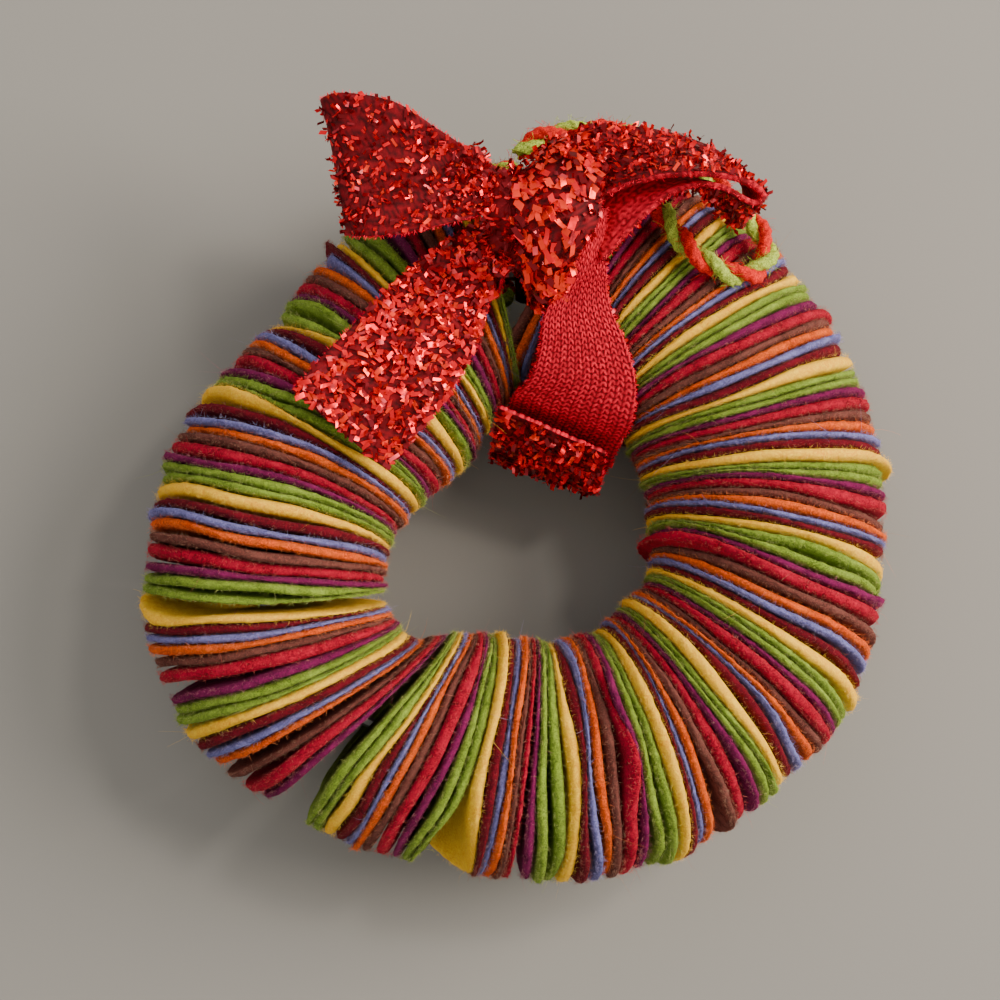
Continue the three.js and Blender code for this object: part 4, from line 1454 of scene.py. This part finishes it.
@dataclass
class TwistedYarn:
    """Two plies of soft yarn, red and light green, twisted together and tied to the wire."""

    bench: Bench
    yarn_radius: float = 1.18
    ply_radius: float = 0.65
    twist_mm: float = 6.6
    declared_thickness: float = 2.4
    sides: int = 14
    step: float = 0.2
    hairs_per_mm: float = 60.0
    hair_mm: tuple[float, float] = (0.3, 1.1)
    hair_half_width: float = 0.018
    strands: int = 3
    strand_ridge: float = 0.12
    strand_turn_mm: float = 1.5
    loop_route: tuple[Point, ...] = (
        (0.25, 36.6, 21.7), (1.3, 37.4, 21.8), (3.2, 38.5, 21.6), (6, 39.1, 21.2), (8.9, 39.3, 20.6), (12, 38.9, 20),
        (15.4, 37.6, 19.8), (18.8, 35.5, 20.2), (22, 32.7, 20.8), (24.6, 29.6, 21.4), (25.8, 27.0, 22),
        (24.8, 24.8, 23.2), (22.5, 24.1, 24.7), (20.0, 24.9, 25.5), (17.9, 26.4, 25.5), (16.2, 28.4, 24.8),
        (14.7, 30.8, 24.2), (12.6, 32.3, 24.1), (9.6, 32.8, 24.2), (6.2, 33.1, 24), (3.2, 33.4, 23.1),
        (1.1, 34, 21.9),
    )
    tie_radius: float = 2.2
    tie_past_middle: float = 2.1
    # The tie's way up from the wire to its knot, outward and upward, in disc radii.
    tie_rise: tuple[tuple[float, float], ...] = ((0.26, 0.08), (0.4, 0.32), (0.57, 0.54), (0.66, 0.64))
    tie_knot: Point = (-1.2, 34.85, 21.55)

    def _centreline(self, points: Sequence[Point]) -> np.ndarray:
        """Run a smooth line through some points, with even steps.

        Args:
            points: The points.

        Returns:
            The line's points.
        """
        knots = np.array(points, float)
        fine = np.linspace(0, len(knots) - 1, 40 * len(knots))
        run = distance_along(spline(knots, fine))
        even = np.linspace(0, run[-1], max(12, round(run[-1] / self.step)))
        return spline(knots, np.interp(even, run, fine))

    def _twist(self, pile: MeshPile, line: np.ndarray, seed: int, start_turn: float = 0.0) -> None:
        """Add both plies, and their fuzz, along a line.

        Args:
            pile: Where they go.
            line: The yarn's middle line.
            seed: The seed of its unevenness.
            start_turn: The twist at the line's start, in radians.
        """
        chance = np.random.default_rng(seed)
        ahead = unit(np.gradient(line, axis=0))
        side = np.empty_like(ahead)
        side[0] = unit(np.cross(ahead[0], [0.0, 0.0, 1.0]))
        for i in range(1, len(line)):
            side[i] = unit(side[i - 1] - ahead[i] * (side[i - 1] @ ahead[i]))
        over = np.cross(ahead, side)
        run = distance_along(line)
        uneven = SlowNoise(seed, 1.7)
        ring = np.linspace(0, FULL_TURN, self.sides, endpoint=False)
        ends = np.clip(np.minimum(run, run[-1] - run) / 0.5, 0.35, 1)
        for ply in range(len(PLIES)):
            turn = start_turn + FULL_TURN * run / self.twist_mm + ply * math.pi
            away = side * np.cos(turn)[:, None] + over * np.sin(turn)[:, None]
            middle = line + away * (self.yarn_radius - self.ply_radius)
            girth = self.ply_radius * (1 + 0.1 * uneven.at(run + 40 * ply)) * ends
            forward = unit(np.gradient(middle, axis=0))
            first = unit(np.cross(forward, away))
            second = np.cross(forward, first)
            around = first[:, None] * np.cos(ring)[:, None] + second[:, None] * np.sin(ring)[:, None]
            ridge = np.cos(self.strands * ring - FULL_TURN * run[:, None] / self.strand_turn_mm)
            girth_here = girth[:, None] * (1 + self.strand_ridge * ridge)
            pile.add_tube(middle[:, None] + around * girth_here[..., None], middle[[0, -1]], ply)

            count = int(self.hairs_per_mm * len(middle) * self.step / 2)
            i, j = chance.integers(0, len(middle), count), chance.integers(0, self.sides, count)
            root = middle[i] + around[i, j] * (girth[i] * 0.97)[:, None]
            onward = forward[i] * chance.choice([-1, 1], count)[:, None]
            lean = unit(around[i, j] * 0.55 + onward * 0.8 + chance.normal(0, 0.4, (count, 3)))
            curl = unit(chance.normal(0, 1, (count, 3))) * 0.5
            pile.add_hairs(root, lean, curl, chance.uniform(*self.hair_mm, count), self.hair_half_width, 0.0, ply)

    def build_loop(self) -> None:
        """Make the loose loop that the wreath hangs by."""
        pile = MeshPile()
        line = self._centreline(self.loop_route)
        self._twist(pile, line, 91, 0.6)
        loop = self.bench.piece("yarn_loop", pile, PLIES, Slot.YARN)
        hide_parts("hanging_loop")
        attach(loop, Body.HANGER.value)
        path = self.bench.packed(line).tolist()

    def build_tie(self, ring: WireRing, radius: float) -> None:
        """Make the turn of yarn round the wire and the small knot that the loop leaves from.

        Args:
            ring: The wire.
            radius: A felt disc's radius.
        """
        stops = len(ring.runs[0])
        gap = math.dist(*ring.on_wire(np.array([stops - 1, stops])))
        seat, _, out = ring.in_gap(self.tie_past_middle / gap, 0.01)
        knot, up = np.array(self.tie_knot), np.array([0.0, 0.0, 1.0])
        turns = [math.radians(degrees) for degrees in range(140, 341, 20)]
        points = [seat + (out * math.cos(turn) + up * math.sin(turn)) * self.tie_radius for turn in turns]
        points += [seat + (out * outward + up * upward) * radius for outward, upward in self.tie_rise]
        pile = MeshPile()
        self._twist(pile, self._centreline([*points, knot]), 95)
        slim = TwistedYarn(self.bench, yarn_radius=0.85, ply_radius=0.5, twist_mm=5.0)
        winds = np.linspace(0, FULL_TURN * 1.6, 34)
        path = knot + np.stack([1.05 * np.cos(winds), 0.35 * np.sin(2 * winds), 1.05 * np.sin(winds)], -1)
        slim._twist(pile, slim._centreline(path), 97)
        tie = self.bench.piece("yarn_tie_turns", pile, PLIES, Slot.YARN)
        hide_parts("yarn_tie")
        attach(tie, Body.WREATH.value)


@dataclass
class Studio:
    """The plain table, the soft lights and the camera straight above."""

    camera_height: float = 240.0
    camera_at: tuple[float, float] = (-1.376, 1.587)
    pixels_per_mm_at_one: float = 2148.0
    picture_pixels: float = 1000.0
    sensor: float = 36.0
    table_reach: float = 1.6
    # The wreath's middle, in metres, where the lights are aimed.
    aim: Point = (0.0, 0.0, 0.012)
    # Each light's name, place and size in metres, watts and colour.
    lights: tuple[tuple[str, Point, float, float, str], ...] = (
        ("window", (0.58, 0.17, 0.38), 0.5, 11.4, "FFF2E4"),
        ("lamp", (0.35, 0.3, 0.62), 0.1, 1.6, "FFF4E6"),
        ("fill", (-0.3, 0.5, 0.6), 0.7, 1.3, "F4F2FF"),
    )
    room_colour: str = "E8E2D8"
    room_strength: float = 0.99

    def add_camera(self, origin: Vector) -> None:
        """Set the camera where the photograph was taken from.

        Args:
            origin: Where the drawing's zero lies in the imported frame.
        """
        camera = bpy.data.cameras.new("overhead")
        camera.sensor_width = self.sensor
        camera.lens = self.sensor * self.pixels_per_mm_at_one / self.picture_pixels
        camera.clip_start = 0.01
        camera.clip_end = 10.0
        view = bpy.data.objects.new("overhead", camera)
        view.location = Vector((*self.camera_at, self.camera_height)) * MM + Vector((origin.x, origin.y, 0))
        bpy.context.scene.collection.objects.link(view)
        bpy.context.scene.camera = view

    def add_table(self) -> None:
        """Lay the table under the wreath."""
        mesh = bpy.data.meshes.new("table_top")
        r = self.table_reach
        mesh.from_pydata([(-r, -r, 0), (r, -r, 0), (r, r, 0), (-r, r, 0)], [], [(0, 1, 2, 3)])
        mesh.materials.append(PaintedBoard().build())
        table = bpy.data.objects.new("table_top", mesh)
        bpy.context.scene.collection.objects.link(table)

    def add_lights(self) -> None:
        """Hang the window light from the upper right, two weak lights, and the room's own light."""
        for name, at, size, watts, colour in self.lights:
            light = bpy.data.lights.new(name, "AREA")
            light.shape = "DISK"
            light.size = size
            light.energy = watts
            light.color = linear_colour(colour)[:3]
            lamp = bpy.data.objects.new(name, light)
            lamp.location = at
            lamp.rotation_euler = (Vector(self.aim) - Vector(at)).to_track_quat("-Z", "Y").to_euler()
            bpy.context.scene.collection.objects.link(lamp)
        world = bpy.data.worlds.new("room")
        world.use_nodes = True
        tree = world.node_tree
        tree.nodes.clear()
        room = {"Color": linear_colour(self.room_colour), "Strength": self.room_strength}
        glow = add_node(tree, "ShaderNodeBackground", room)
        add_node(tree, "ShaderNodeOutputWorld", {"Surface": glow.outputs[0]})
        bpy.context.scene.world = world


def main() -> None:
    """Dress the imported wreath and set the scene."""
    logging.basicConfig(level=logging.INFO)
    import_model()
    low, high = (Vector(corner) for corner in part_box("bow_knot"))
    origin = (low + high) / 2 - Vector(GlitterBow.knot) * MM
    studio = Studio()
    studio.add_camera(origin)
    bench = Bench(origin)
    ring = WireRing()
    felt = FeltRow(bench, ring)
    yarn = TwistedYarn(bench)
    yarn.build_loop()
    yarn.build_tie(ring, felt.disc_radius)
    felt.build()
    GlitterBow(bench).build(ring, felt.disc_radius)
    wire = bpy.data.objects["wire_ring"]
    wire.data.materials.clear()
    wire.data.materials.append(bench.material(GalvanisedWire()))
    studio.add_table()
    studio.add_lights()


if __name__ == "__main__":
    main()
